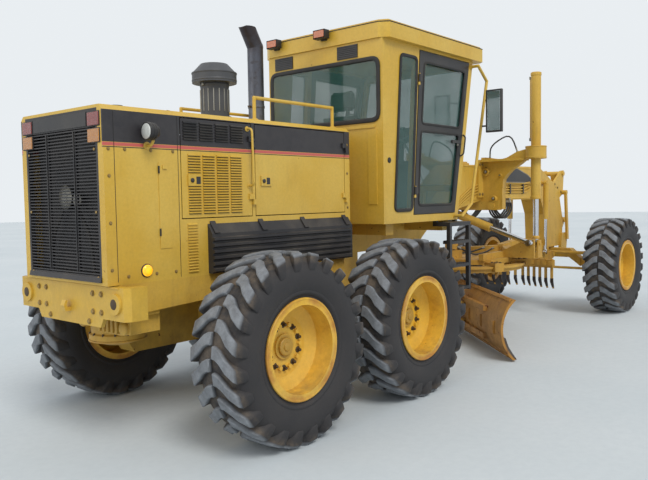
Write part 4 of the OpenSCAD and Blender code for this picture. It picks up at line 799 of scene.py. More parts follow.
def make_tyres():
    """Six tyres from one casing and two rows of lugs; they take the place of the plain ones."""
    pitch = 2 * math.pi / LUGS
    unit = lug_unit()
    left = repeated("lugs_left", unit, "rubber", Count=LUGS, Turn=pitch)
    right = repeated("lugs_right", unit, "rubber", Count=LUGS, Turn=pitch, Start_Turn=pitch / 2)
    right.transform(Matrix.Scale(-1, 4, (0, 1, 0)))
    whole = bmesh.new()
    for mesh in (casing(), left, right):
        whole.from_mesh(mesh)
    for side, sign in SIDES:
        for place, x in AXLES.items():
            bm = whole.copy()
            if sign < 0:
                bmesh.ops.transform(bm, matrix=Matrix.Scale(-1, 4, (0, 1, 0)), verts=bm.verts)
            bmesh.ops.recalc_face_normals(bm, faces=bm.faces)
            spin = Matrix.Rotation(math.radians(TREAD_TURN[place]), 4, "Y")
            bmesh.ops.transform(bm, matrix=spin, verts=bm.verts)
            # The lugs come with a slot number of their own, and each tyre has one slot
            for f in bm.faces:
                f.material_index = 0
            mesh = mesh_of(f"tyre_tread_{side}_{place}", bm)
            mesh.materials.append(FINISH["rubber"])
            out = mesh.attributes.new("radius", "FLOAT", "POINT")
            out.data.foreach_set("value", [math.hypot(v.co.x, v.co.z) for v in mesh.vertices])
            y = sign * (FRONT_Y if place == "front" else REAR_Y)
            mesh.transform(Matrix.Translation((x, y, AXLE_Z)))
            smooth(mesh, 40)
            obj = link(f"tyre_tread_{side}_{place}", mesh)
            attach(obj, f"wheel_{side}_{place}")
            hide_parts(f"tyre_{side}_{place}")
    whole.free()


make_tyres()


def dress_rims():
    """A lock ring, a hub cap, and ten washers with their stud caps on each rim."""
    for side, sign in SIDES:
        for place, x in AXLES.items():
            y = sign * (FRONT_Y if place == "front" else REAR_Y)
            body = f"wheel_{side}_{place}"
            p = Piece(f"rim_trim_{side}_{place}", body, f"rim_{place}", "dark_bolt")
            out = (0, sign, 0)
            c = Vector((x, y, AXLE_Z))
            ring = [(0.3545, 0.181), (0.3545, 0.1915), (0.350, 0.1955), (0.340, 0.1955), (0.3365, 0.190),
                    (0.3365, 0.181)]
            p.loft([[c + Vector((r * math.sin(a), sign * t, r * math.cos(a))) for r, t in ring]
                    for a in turns(72)], closed=True)
            p.lathe([(0.064, 0.010), (0.064, 0.030), (0.056, 0.036), (0.030, 0.036), (0.028, 0.044),
                     (0.012, 0.047)], c, out)
            p.finish = 1
            for a in turns(10):
                q = c + Vector((0.152 * math.sin(a), 0, 0.152 * math.cos(a)))
                p.lathe([(0.0225, -0.001), (0.0225, 0.004), (0.019, 0.006)], q, out, 16)
                p.lathe([(0.0115, 0.004), (0.0115, 0.028), (0.008, 0.032)], q, out, 10)
            p.done(0.0015)


dress_rims()

# Hood and its doors


def louvre_unit(length):
    """A slat with its slanted face."""
    def build(p):
        p.prism([(0.0, 0.007), (0.0, -0.007), (0.011, -0.006), (0.012, -0.002)], "x", 0, length)
    return unit_mesh("louvre", build)


LATCH = [(0.016, 0), (0.016, 0.006), (0.011, 0.010), (0.006, 0.010)]


def dress_hood():
    """Louvres, handles, latches, seams and bolts of the hood and its doors."""
    for side, sign in SIDES:
        door = f"engine_door_{side}_rear"
        y = sign * HOOD_Y
        turn = Matrix.Scale(sign, 4, (0, 1, 0))
        for name, finish, x0, z0, rows, pitch_z, length in (
            ("louvres", "hood", TM - 1.114, 1.600, 22, 0.0192, 0.112),
            ("band_louvres", "black", TM - 1.150, 2.112, 7, 0.0192, 0.122),
        ):
            pitch_x = 0.131 if name == "louvres" else 0.145
            place = Matrix.Translation((x0, y, z0))
            grid = {"Count": rows * 4, "Row_Length": 4, "Step": (pitch_x, 0.0, 0.0),
                    "Row_Step": (0.0, 0.0, pitch_z)}
            unit = louvre_unit(length)
            unit.transform(turn)
            row_piece(f"{name}_{side}", door, unit, finish, place, **grid)
            # A thin dark box under each louvre: painted shade in the slot below the slat, not a real part
            slot_shade_box = ((0.002, -0.001, -0.0112), (length - 0.002, 0.0015, -0.007))
            slot = unit_mesh("louvre_slot", lambda p: p.block(*slot_shade_box))
            slot.transform(turn)
            row_piece(f"{name}_slots_{side}", door, slot, "seal", place, **grid)
        # Grab handle and latches
        p = Piece(f"door_handle_{side}", door, "cab", "black")
        x = TM - 0.545
        p.tube([(x, y, 2.216), (x, y + sign * 0.055, 2.216), (x + 0.012, y + sign * 0.055, 1.79),
                (x + 0.012, y, 1.79)], 0.009, 10, 0.03)
        for z in (2.216, 1.79):
            p.lathe([(0.020, 0), (0.020, 0.005)], (x + (0.012 if z < 2 else 0), y, z), (0, sign, 0), 16)
        p.block((TM - 1.119, y, 1.788), (TM - 0.998, y + sign * 0.0115, 1.866))
        p.finish = 1
        p.lathe(LATCH, (TM - 1.086, y + sign * 0.011, 1.826), (0, sign, 0), 20)
        p.block((TM - 1.050, y + sign * 0.010, 1.800), (TM - 1.012, y + sign * 0.0135, 1.852))
        p.done(0.001)
        p = Piece(f"front_door_latch_{side}", f"engine_door_{side}_front", "black", "cab")
        p.lathe(LATCH, (TM - 0.385, y + sign * 0.011, 1.826), (0, sign, 0), 20)
        p.block((TM - 0.356, y + sign * 0.001, 1.800), (TM - 0.318, y + sign * 0.0125, 1.852))
        p.finish = 1
        p.block((TM - 0.412, y, 1.788), (TM - 0.300, y + sign * 0.0115, 1.866))
        p.done(0.001)
        # Narrow rear door, seams and marker on the fixed side
        p = Piece(f"hood_side_trim_{side}", "rear_group", "hood", "seal", "bright_amber", "black")
        p.block((TM - 1.364, y - 0.001, 1.365), (TM - 1.263, y + sign * 0.005, 1.945))
        p.block((TM - 1.335, y, 1.900), (TM - 1.300, y + sign * 0.014, 1.925))
        p.finish = 1
        p.block((TM - 1.200, y - 0.001, 1.16), (TM - 1.196, y + sign * 0.0015, 2.26))
        p.block((TM - 1.700, y - 0.001, HOOD_Z0 + 0.02), (TM - 1.696, y + sign * 0.0015, 2.26))
        for z in (1.45, 1.87):
            p.bar((TM - 1.364, y + sign * 0.008, z), (TM - 1.364, y + sign * 0.008, z + 0.05), 0.006, 10)
        p.finish = 2
        p.lathe([(0.040, 0.002), (0.038, 0.014), (0.026, 0.022), (0.008, 0.024)], (TM - 1.48, y, 1.227),
                (0, sign, 0), 24)
        p.finish = 3
        p.lathe([(0.045, 0), (0.045, 0.006), (0.041, 0.008)], (TM - 1.48, y, 1.227), (0, sign, 0), 24)
        p.done(0.001)
        unit = louvre_unit(0.085)
        unit.transform(turn)
        row_piece(f"lower_louvres_{side}", "rear_group", unit, "hood",
                  Matrix.Translation((TM - 1.13, y, 1.19)), Count=17, Row_Length=17, Step=(0.0, 0.0, 0.0205))
        spots = ((-1.74, 1.25), (-1.74, 1.55), (-1.74, 1.85), (-1.74, 2.02), (-1.62, 1.20), (-1.40, 1.20),
                 (-1.24, 1.20), (-1.62, 2.02), (-1.42, 2.02), (-1.24, 2.02), (0.660, 1.30), (0.660, 1.60),
                 (0.660, 1.90), (0.660, 2.15))
        bolts(f"hood_bolts_{side}", "rear_group", [((TM + x, y, z), (0, sign, 0)) for x, z in spots],
              "bolt", 0.009)
    # Top: seams, filler cap and rail feet
    p = Piece("hood_top_trim", "rear_group", "hood", "seal", "black")
    for x in (TM - 1.25, TM - 0.46, TM + 0.20):
        p.finish = 1
        p.block((x, -0.49, HOOD_Z1 - 0.001), (x + 0.005, 0.49, HOOD_Z1 + 0.0015))
        p.finish = 0
        p.block((x + 0.006, -0.48, HOOD_Z1 - 0.001), (x + 0.03, 0.48, HOOD_Z1 + 0.004))
    p.finish = 2
    p.lathe([(0.055, 0), (0.055, 0.035), (0.048, 0.045), (0.02, 0.047)], (TM - 1.45, -0.18, HOOD_Z1),
            (0, 0, 1), 28)
    p.finish = 0
    for x in (TM - 0.393, TM + 0.550):
        for y in (-0.450, 0.450):
            p.lathe([(0.030, 0), (0.030, 0.006), (0.020, 0.012)], (x, y, HOOD_Z1), (0, 0, 1), 18)
    p.done(0.001)


dress_hood()


def dress_lamps():
    """Red over amber lamps in black frames, and round work lamps on the hood's sides."""
    first = None
    for side, sign in SIDES:
        p = Piece(f"tail_lamp_{side}", "rear_group", "plastic", "red", "amber")
        ys = sorted((sign * 0.355, sign * 0.495))
        for k, z in ((2, 2.059), (1, 2.164)):
            p.finish = 0
            p.block((GRILLE_X - 0.005, ys[0], z), (GRILLE_X + 0.004, ys[1], z + 0.095))
            p.finish = k
            p.block((GRILLE_X - 0.0095, ys[0] + 0.006, z + 0.006),
                    (GRILLE_X - 0.004, ys[1] - 0.006, z + 0.089))
        obj = p.done(0.002)
        q = Piece(f"work_lamp_{side}", "rear_group", "black", "clear", "cab")
        c = (TM - 1.508, sign * 0.600, 2.137)
        q.lathe([(0.058, 0.0), (0.060, 0.004), (0.060, 0.020), (0.054, 0.022), (0.054, 0.028),
                 (0.058, 0.030), (0.058, 0.040), (0.051, 0.042), (0.051, 0.048), (0.055, 0.050),
                 (0.055, 0.058), (0.046, 0.064), (0.036, 0.088), (0.01, 0.088)], c, (1, 0, 0), 36)
        q.finish = 1
        q.lathe([(0.052, 0.001), (0.044, -0.004), (0.02, -0.008), (0.004, -0.009)], c, (1, 0, 0), 36)
        q.finish = 2
        q.tube([(TM - 1.450, sign * 0.520, 2.05), (TM - 1.450, sign * 0.575, 2.05),
                (TM - 1.450, sign * 0.597, 2.082)], 0.010, 10, 0.02)
        q.bar((TM - 1.45, sign * 0.521, 2.05), (TM - 1.45, sign * 0.528, 2.05), 0.026)
        other = q.done(0.0008)
        if first is None:
            first = obj
            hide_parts("tail_lamps")


dress_lamps()


def dress_bumper():
    """Strip, bolts and hole rings of the bumper, and the grille's own trim."""
    x = REAR_END - 0.060
    p = Piece("bumper_trim", "rear_group", "cab", "dark_bolt")
    z0, z1 = 0.930, 1.145
    p.block((x - 0.004, -0.60, z1 - 0.012), (x + 0.01, 0.60, z1 - 0.002))
    p.finish = 1
    for y in (-0.560, 0.560):
        p.lathe([(0.0345, -0.001), (0.0345, 0.0005), (0.0325, 0.0015)], (x - 0.016, y, (z0 + z1) / 2),
                (-1, 0, 0), 28)
    p.done(0.001)
    spots = [(y, z) for y in (-0.40, -0.30, 0.30, 0.40) for z in (0.97, 1.09)] + [(-0.25, 0.90), (0.25, 0.90)]
    bolts("bumper_bolts", "rear_group", [((x, y, z), (-1, 0, 0)) for y, z in spots], "bolt", 0.015)
    # Blank strip between the lamps, and the grille's bars and screws
    g = Piece("grille_trim", "rear_group", "black", "bolt")
    g.block((GRILLE_X - 0.006, -0.340, 2.170), (GRILLE_X + 0.003, 0.340, 2.262))
    for y in (-0.175, 0.175):
        g.block((GRILLE_X - 0.004, y - 0.004, 1.23), (GRILLE_X + 0.006, y + 0.004, 2.15))
    g.finish = 1
    for y in (-0.42, 0.42):
        for z in (1.20, 1.62, 2.02):
            g.lathe([(0.010, 0), (0.010, 0.004), (0.006, 0.006)], (GRILLE_X, y, z), (-1, 0, 0), 12)
    g.done(0.0015)


dress_bumper()


def dress_radiator():
    """Fan hub and slanted pipes, dim behind the slats."""
    x = GRILLE_X + 0.052
    p = Piece("radiator_fan", "rear_group", "fitting", "cast")
    p.lathe([(0.085, 0), (0.085, 0.014), (0.070, 0.020), (0.030, 0.020)], (x, 0.02, 1.72), (-1, 0, 0), 32)
    p.lathe([(0.050, 0), (0.050, 0.016), (0.02, 0.016)], (x, -0.13, 1.70), (-1, 0, 0), 24)
    p.finish = 1
    for y0, y1 in ((0.04, 0.20), (-0.12, -0.27)):
        p.tube([(x - 0.008, y0, 1.66), (x - 0.008, y1, 1.46), (x - 0.008, y1 * 1.15, 1.18)], 0.011, 8, 0.06)
    p.done(0.002)


dress_radiator()


def dress_stacks():
    """Bands and stays of the pre-cleaner, and the clamp and collar of the exhaust pipe."""
    p = Piece("precleaner_trim", "rear_group", "precleaner", "black", "fitting")
    x = TM - 0.400
    p.lathe([(0.1165, 2.600), (0.1185, 2.604), (0.1185, 2.622), (0.1165, 2.626)], (x, 0, 0), (0, 0, 1), 40)
    p.lathe([(0.177, 2.640), (0.1825, 2.646), (0.1825, 2.654), (0.180, 2.660)], (x, 0, 0), (0, 0, 1), 48)
    p.lathe([(0.1805, 2.700), (0.184, 2.704), (0.184, 2.712), (0.1795, 2.716)], (x, 0, 0), (0, 0, 1), 48)
    p.lathe([(0.020, 2.780), (0.018, 2.792), (0.010, 2.794)], (x, 0, 0), (0, 0, 1), 16)
    p.finish = 1
    p.lathe([(0.137, 2.318), (0.139, 2.322), (0.139, 2.330), (0.137, 2.334)], (x, 0, 0), (0, 0, 1), 48)
    for a in turns(16):
        c = Vector((x + 0.1155 * math.cos(a), 0.1155 * math.sin(a), 0))
        p.finish = 2
        p.bar(c + Vector((0, 0, 2.40)), c + Vector((0, 0, 2.58)), 0.005, 6)
    p.block((x - 0.128, -0.012, 2.603), (x - 0.116, 0.012, 2.623))
    p.done(0.001)
    e = Piece("stack_trim", "rear_group", "stack", "dark_bolt")
    c = (TM + 0.360, 0.300, 0)
    e.lathe([(0.0735, 2.52), (0.0775, 2.524), (0.0775, 2.544), (0.0735, 2.548)], c, (0, 0, 1), 36)
    e.lathe([(0.108, 2.330), (0.112, 2.332), (0.100, 2.352), (0.074, 2.358)], c, (0, 0, 1), 36)
    e.finish = 1
    e.block((c[0] - 0.100, 0.288, 2.526), (c[0] - 0.076, 0.312, 2.542))
    e.done(0.001)


dress_stacks()

# Cab


def seal(piece, outline, plane, at, half=0.019, depth=0.010, corner=0.06):
    """A rubber strip round a window: a rounded outline in the given plane, at one place across it."""
    n = len(outline)
    pts = [Vector(p) for p in outline]
    loop = []
    for k in range(n):
        a, b, c = pts[k - 1], pts[k], pts[(k + 1) % n]
        p = b + (a - b).normalized() * corner
        q = b + (c - b).normalized() * corner
        loop += [p.lerp(b, t).lerp(b.lerp(q, t), t) for t in (0, 0.2, 0.4, 0.6, 0.8, 1)]
    m = len(loop)
    rings = []
    for k in range(m):
        way = (loop[(k + 1) % m] - loop[k - 1]).normalized()
        side = Vector((-way.y, way.x))
        ring = []
        for s, t in ((-1, 0), (-0.85, 1), (-0.2, 1.35), (0.55, 1.15), (1, 0.2), (1, -0.2)):
            p = loop[k] + side * half * s
            u = at + depth * t
            ring.append((u, p.x, p.y) if plane == "x" else (p.x, u, p.y))
        rings.append(ring)
    piece.loft(rings, closed=True)


def dress_cab():
    """Window seals, wipers, vents, gutter, lamps, mirror glasses, door trim and step treads."""
    p = Piece("cab_seals", "front_group", "seal")
    seal(p, [(-0.665, 2.385), (0.665, 2.385), (0.665, 2.935), (-0.665, 2.935)], "x", CAB_X0 - 0.004, 0.022,
         -0.010, 0.075)
    for sign in (-1, 1):
        z0, z1 = CAB_Z0 + 0.12, CAB_Z1 - 0.11
        seal(p, [(CAB_X0 + 0.170, z0), (DOOR_X0 - 0.030, z0), (DOOR_X0 + 0.078, z1), (CAB_X0 + 0.290, z1)],
             "y", sign * (CAB_Y + 0.004), 0.017, sign * 0.008, 0.05)
    p.done(0)
    # Windscreen strips lean with the cab's front
    w = Piece("windscreen_seal", "front_group", "seal", "black")
    lean = Matrix.Identity(4)
    lean[0][2] = CAB_LEAN / (CAB_Z1 - CAB_Z0)
    lean[0][3] = CAB_X1 - CAB_Z0 * lean[0][2]
    w.at = lean
    seal(w, [(-0.665, CAB_Z0 + 0.345), (0.665, CAB_Z0 + 0.345), (0.665, CAB_Z1 - 0.065),
             (-0.665, CAB_Z1 - 0.065)], "x", 0.004, 0.020, 0.010, 0.06)
    for sign in (-1, 1):
        ys = sorted((sign * 0.290, sign * 0.660))
        seal(w, [(ys[0], CAB_Z0 + 0.12), (ys[1], CAB_Z0 + 0.12), (ys[1], CAB_Z0 + 0.31),
                 (ys[0], CAB_Z0 + 0.31)], "x", 0.004, 0.014, 0.008, 0.03)
    # Wipers
    w.finish = 1
    for y, tilt in ((-0.25, 0.30), (0.33, 0.25)):
        w.tube([(0.014, y, CAB_Z0 + 0.35), (0.030, y, CAB_Z0 + 0.37), (0.026, y + tilt, CAB_Z0 + 0.82)],
               0.006, 8, 0.02)
        w.tube([(0.017, y + tilt * 0.55, CAB_Z0 + 0.60), (0.017, y + tilt * 1.4, CAB_Z0 + 1.02)], 0.005, 6)
    w.done(0)
    # Rear wall: vents' slats, panel and sills, and a round port on the side
    r = Piece("cab_rear_trim", "front_group", "cab", "seal", "black")
    x = CAB_X0
    for y in (-0.315, 0.495):
        r.finish = 2
        for k in range(7):
            z = CAB_Z1 - 0.132 + k * 0.0165
            r.prism([(x - 0.0125, z), (x - 0.0075, z), (x - 0.0075, z + 0.009), (x - 0.0095, z + 0.011)],
                    "y", y - 0.116, y + 0.116)
    r.finish = 0
    r.block((x - 0.006, -0.640, 1.62), (x + 0.001, -0.540, 2.30))
    r.block((x - 0.010, 0.10, 2.315), (x + 0.001, 0.62, 2.345))
    r.block((x - 0.010, -0.62, 2.315), (x + 0.001, -0.10, 2.345))
    r.finish = 1
    r.lathe([(0.026, 0), (0.026, 0.004), (0.020, 0.006), (0.006, 0.006)], (CAB_X0 + 0.09, -CAB_Y, 2.02),
            (0, -1, 0), 20)
    r.done(0.0015)
    # Roof gutter and lamps
    g = Piece("roof_gutter", "front_group", "seal")
    x0, x1, y = CAB_X0 - 0.020, CAB_X0 + 1.792, CAB_Y + 0.060
    top = CAB_Z1 + 0.138
    loop = [(x0, -y + 0.09), (x0 + 0.06, -y), (x1 - 0.04, -y), (x1, -y + 0.05), (x1, y - 0.05),
            (x1 - 0.04, y), (x0 + 0.06, y), (x0, y - 0.09)]
    for k in range(len(loop)):
        g.tube([(*loop[k - 1], top), (*loop[k], top)], 0.0045, 6)
    g.done(0)
    lamps = Piece("roof_lamps", "front_group", "black", "orange")
    roof_x = CAB_X0 - 0.020
    for y in (-0.060, 0.560):
        lamps.finish = 0
        lamps.prism([(roof_x - 0.090, CAB_Z1 + 0.070), (roof_x - 0.030, CAB_Z1 + 0.078),
                     (roof_x - 0.022, CAB_Z1 + 0.110), (roof_x - 0.030, CAB_Z1 + 0.144),
                     (roof_x - 0.090, CAB_Z1 + 0.152)], "y", y - 0.072, y + 0.072)
        lamps.finish = 1
        lamps.block((roof_x - 0.094, y - 0.062, CAB_Z1 + 0.079), (roof_x - 0.088, y + 0.062, CAB_Z1 + 0.142))
    lamps.done(0.004)
    for side, sign in SIDES:
        # Mirror glasses face back
        m = Piece(f"mirror_{side}", "front_group", "plastic", "mirror")
        x, ys = CAB_X1 + 0.245, sorted((sign * 0.920, sign * 1.090))
        m.block((x - 0.012, ys[0] - 0.004, 2.340), (x + 0.024, ys[1] + 0.004, 2.777))
        m.finish = 1
        m.block((x - 0.0135, ys[0] + 0.012, 2.356), (x - 0.011, ys[1] - 0.012, 2.761))
        m.done(0.006)
        # Door handle, lock, and seals round both panes
        d = Piece(f"cab_door_trim_{side}", f"cab_door_{side}", "black", "seal", "fitting")
        d.tube([(-0.170, sign * 0.714, 2.10), (-0.160, sign * 0.748, 2.12), (-0.120, sign * 0.748, 2.30),
                (-0.112, sign * 0.714, 2.32)], 0.008, 10, 0.02)
        d.finish = 2
        d.lathe([(0.016, 0), (0.016, 0.010), (0.010, 0.014)], (-0.235, sign * 0.714, 2.215), (0, sign, 0), 18)
        d.finish = 1
        split = DOOR_Z0 + 0.53 * (DOOR_Z1 - DOOR_Z0)
        for x0, z0, z1 in ((DOOR_X0 + 0.085, DOOR_Z0 + 0.09, split - 0.03),
                           (DOOR_X0 + 0.155, split + 0.04, DOOR_Z1 - 0.11)):
            x1 = DOOR_X1 - 0.075
            seal(d, [(x0, z0), (x1 + lean_x(z0), z0), (x1 + lean_x(z1), z1), (x0 + 0.06, z1)], "y",
                 sign * (CAB_Y + 0.003), 0.012, sign * 0.006, 0.05)
        d.done(0.0008)
        t = Piece(f"step_treads_{side}", "front_group", "black")
        for z in (0.720, 0.960, 1.200):
            ys = sorted((sign * 0.722, sign * 0.818))
            for k in range(9):
                x = CAB_X1 - 0.300 + k * 0.038
                t.block((x, ys[0], z + 0.029), (x + 0.012, ys[1], z + 0.036))
        t.done(0.0015)
        places = [((CAB_X1 - 0.06 + dx, sign * (CAB_Y + 0.010), CAB_Z0 + 0.04), (0, sign, 0))
                  for dx in (-0.017, 0.017)]
        bolts(f"rail_bolts_{side}", "front_group", places, "bolt", 0.005)


dress_cab()


def dress_inside():
    """Levers beside the steering column, its dashboard, armrest pads and pedals."""
    p = Piece("cab_controls", "front_group", "black", "plastic")
    x = CAB_X0 + 0.900
    for sign in (-1, 1):
        for k in range(4):
            c = Vector((x + 0.18 + 0.02 * k, sign * (0.115 + 0.022 * k), CAB_Z0 + 0.86))
            p.tube([c - Vector((0, 0, 0.10)), c, c + Vector((-0.02, 0, 0.10))], 0.006, 8, 0.02)
            p.lathe([(0.006, 0), (0.014, 0.010), (0.016, 0.022), (0.010, 0.034), (0.003, 0.037)],
                    c + Vector((-0.02, 0, 0.09)), (0, 0, 1), 14)
    p.finish = 1
    p.prism([(x + 0.20, CAB_Z0 + 0.80), (x + 0.33, CAB_Z0 + 0.84), (x + 0.37, CAB_Z0 + 0.98),
             (x + 0.35, CAB_Z0 + 0.99), (x + 0.24, CAB_Z0 + 0.84)], "y", -0.20, 0.20)
    for sign in (-1, 1):
        ys = sorted((sign * 0.335, sign * 0.495))
        p.block((CAB_X0 + 0.25, ys[0], CAB_Z0 + 0.57), (CAB_X0 + 0.77, ys[1], CAB_Z0 + 0.60))
        p.block((x + 0.05, sign * 0.17 - 0.05, CAB_Z0 + 0.062),
                (x + 0.22, sign * 0.17 + 0.05, CAB_Z0 + 0.085))
    p.done(0.004)


dress_inside()


def swollen_pad(name, lo, hi, lean, grow, cap):
    """A cushion: a closed form swollen by cloth pressure, each point's move capped."""
    bm = bmesh.new()
    bmesh.ops.create_cube(bm, size=1.0)
    size = [b - a for a, b in zip(lo, hi)]
    mid = [(a + b) / 2 for a, b in zip(lo, hi)]
    bmesh.ops.scale(bm, vec=size, verts=bm.verts)
    bmesh.ops.bevel(bm, geom=bm.edges[:], offset=0.024, segments=3, affect="EDGES")
    bmesh.ops.translate(bm, vec=mid, verts=bm.verts)
    obj = link(name, mesh_of(name, bm))
    mod = obj.modifiers.new("remesh", "REMESH")
    mod.mode, mod.voxel_size = "VOXEL", 0.006
    bpy.context.view_layer.update()
    fine = evaluated(obj)
    obj.modifiers.remove(mod)
    obj.data = fine
    fine.name = name
    rest = [v.co.copy() for v in fine.vertices]
    cloth_mod = obj.modifiers.new("swell", "CLOTH")
    s = cloth_mod.settings
    s.quality = 5
    s.use_pressure, s.uniform_pressure_force = True, 4.0
    s.effector_weights.gravity = 0.0
    s.mass = 0.3
    cloth_mod.point_cache.frame_start, cloth_mod.point_cache.frame_end = 1, 20
    for k in range(1, 21):
        bpy.context.scene.frame_set(k)
    puffed = evaluated(obj)
    moved = [v.co.copy() for v in puffed.vertices]
    obj.modifiers.remove(cloth_mod)
    bpy.data.meshes.remove(puffed)
    bpy.context.scene.frame_set(1)
    for v, a, b in zip(fine.vertices, rest, moved):
        step = b - a
        v.co = a + step * min(1.0, cap / max(step.length, 1e-6))
    # Sewn channels across the face
    for v in fine.vertices:
        up = v.co.z - mid[2]
        if grow == "z" and up > 0:
            for line in (-0.085, 0.085):
                v.co.z -= 0.010 * math.exp(-((v.co.y - mid[1] - line) / 0.009) ** 2)
            v.co.z += 0.010 * math.cos((v.co.x - mid[0]) / size[0] * 2.4)
        if grow == "x":
            for line in (-0.16, 0.0, 0.16):
                dip = 0.008 * math.exp(-((v.co.z - mid[2] - line) / 0.009) ** 2)
                v.co.x -= math.copysign(dip, v.co.x - mid[0])
    fine.transform(lean)
    smooth(fine, 60)
    fine.materials.append(FINISH["cloth"])
    sub = obj.modifiers.new("soft", "SUBSURF")
    sub.levels = sub.render_levels = 1
    return obj


def dress_seat():
    """A base with a back shell and armrests, and three cloth pads; they take the plain seat's place."""
    z0 = CAB_Z0 + 0.062
    x = CAB_X0 + 0.330
    base = Piece("seat_base", "front_group", "black", "plastic")
    base.prism([(x + 0.06, z0), (x + 0.40, z0), (x + 0.36, z0 + 0.05), (x + 0.36, z0 + 0.22),
                (x + 0.42, z0 + 0.29), (x + 0.04, z0 + 0.29), (x + 0.10, z0 + 0.22), (x + 0.10, z0 + 0.05)],
               "y", -0.165, 0.165)
    base.finish = 1
    base.block((x + 0.01, -0.235, z0 + 0.285), (x + 0.49, 0.235, z0 + 0.320))
    for sign in (-1, 1):
        y = sign * 0.262
        base.tube([(x - 0.014, sign * 0.19, z0 + 0.60), (x - 0.014, y, z0 + 0.60), (x + 0.30, y, z0 + 0.62)],
                  0.016, 10, 0.04, 1.6)
    base.prism([(x + 0.002, z0 + 0.29), (x + 0.024, z0 + 0.29), (x + 0.024, z0 + 0.42),
                (x - 0.060, z0 + 0.98), (x - 0.084, z0 + 0.98), (x + 0.002, z0 + 0.42)], "y", -0.205, 0.205)
    for y in (-0.07, 0.07):
        base.tube([(x - 0.072, y, z0 + 0.95), (x - 0.030, y, z0 + 1.09)], 0.007, 8)
    base.done(0.006)
    cushion = swollen_pad("seat_cushion", (x + 0.018, -0.232, z0 + 0.312), (x + 0.482, 0.232, z0 + 0.418),
                          Matrix.Identity(4), "z", 0.012)
    tilt = Matrix.Identity(4)
    slant = 0.09 / 0.59
    tilt[0][2] = -slant
    tilt[0][3] = slant * (z0 + 0.42)
    back = swollen_pad("seat_back", (x + 0.016, -0.222, z0 + 0.436), (x + 0.094, 0.222, z0 + 0.995),
                       tilt, "x", 0.010)
    head = swollen_pad("seat_headrest", (x - 0.055, -0.150, z0 + 1.03), (x + 0.015, 0.150, z0 + 1.235),
                       Matrix.Identity(4), "none", 0.010)
    for obj, fill in ((cushion, 0.7), (back, 0.65), (head, 0.6)):
        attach(obj, "front_group")
    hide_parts("seat")


dress_seat()

# Rear frame and what hangs under it


def dress_belly():
    """Cast pump housing and drain pan seen under the bumper."""
    p = Piece("belly_housing", "rear_group", "frame", "dark_bolt", "under")
    x = REAR_END + 0.30
    p.lathe([(0.20, 0), (0.20, 0.05), (0.185, 0.06), (0.185, 0.20), (0.16, 0.23), (0.05, 0.23)],
            (x, -0.02, 0.70), (0, 0, 1), 40)
    p.finish = 2
    p.lathe([(0.04, -0.035), (0.10, -0.030), (0.185, -0.002), (0.205, 0.0), (0.205, 0.014), (0.10, 0.016)],
            (x, -0.02, 0.70), (0, 0, 1), 40)
    p.finish = 0
    for k in range(5):
        p.block((x - 0.19, -0.30 + 0.052 * k, 0.79), (x - 0.10, -0.272 + 0.052 * k, 0.93))
    p.block((x - 0.16, -0.31, 0.775), (x + 0.10, -0.055, 0.96))
    # Cross member that carries the housing between the frame rails
    p.block((x - 0.15, -0.500, 0.925), (x + 0.02, 0.500, 0.985))
    p.lathe([(0.062, 0), (0.062, 0.05), (0.05, 0.06), (0.02, 0.06)], (x - 0.14, 0.13, 0.86), (-1, 0, 0), 24)
    p.lathe([(0.045, 0), (0.045, 0.04), (0.03, 0.05), (0.01, 0.05)], (x - 0.17, -0.40, 0.84), (-1, 0, 0), 20)
    p.block((x - 0.19, -0.46, 0.80), (x + 0.05, -0.34, 0.93))
    p.finish = 1
    for a in turns(14):
        p.lathe([(0.010, 0), (0.010, 0.018), (0.007, 0.020)],
                (x + 0.192 * math.cos(a), -0.02 + 0.192 * math.sin(a), 0.745), (0, 0, 1), 6)
    p.done(0.004)


dress_belly()

# Side covers, frame, saddle


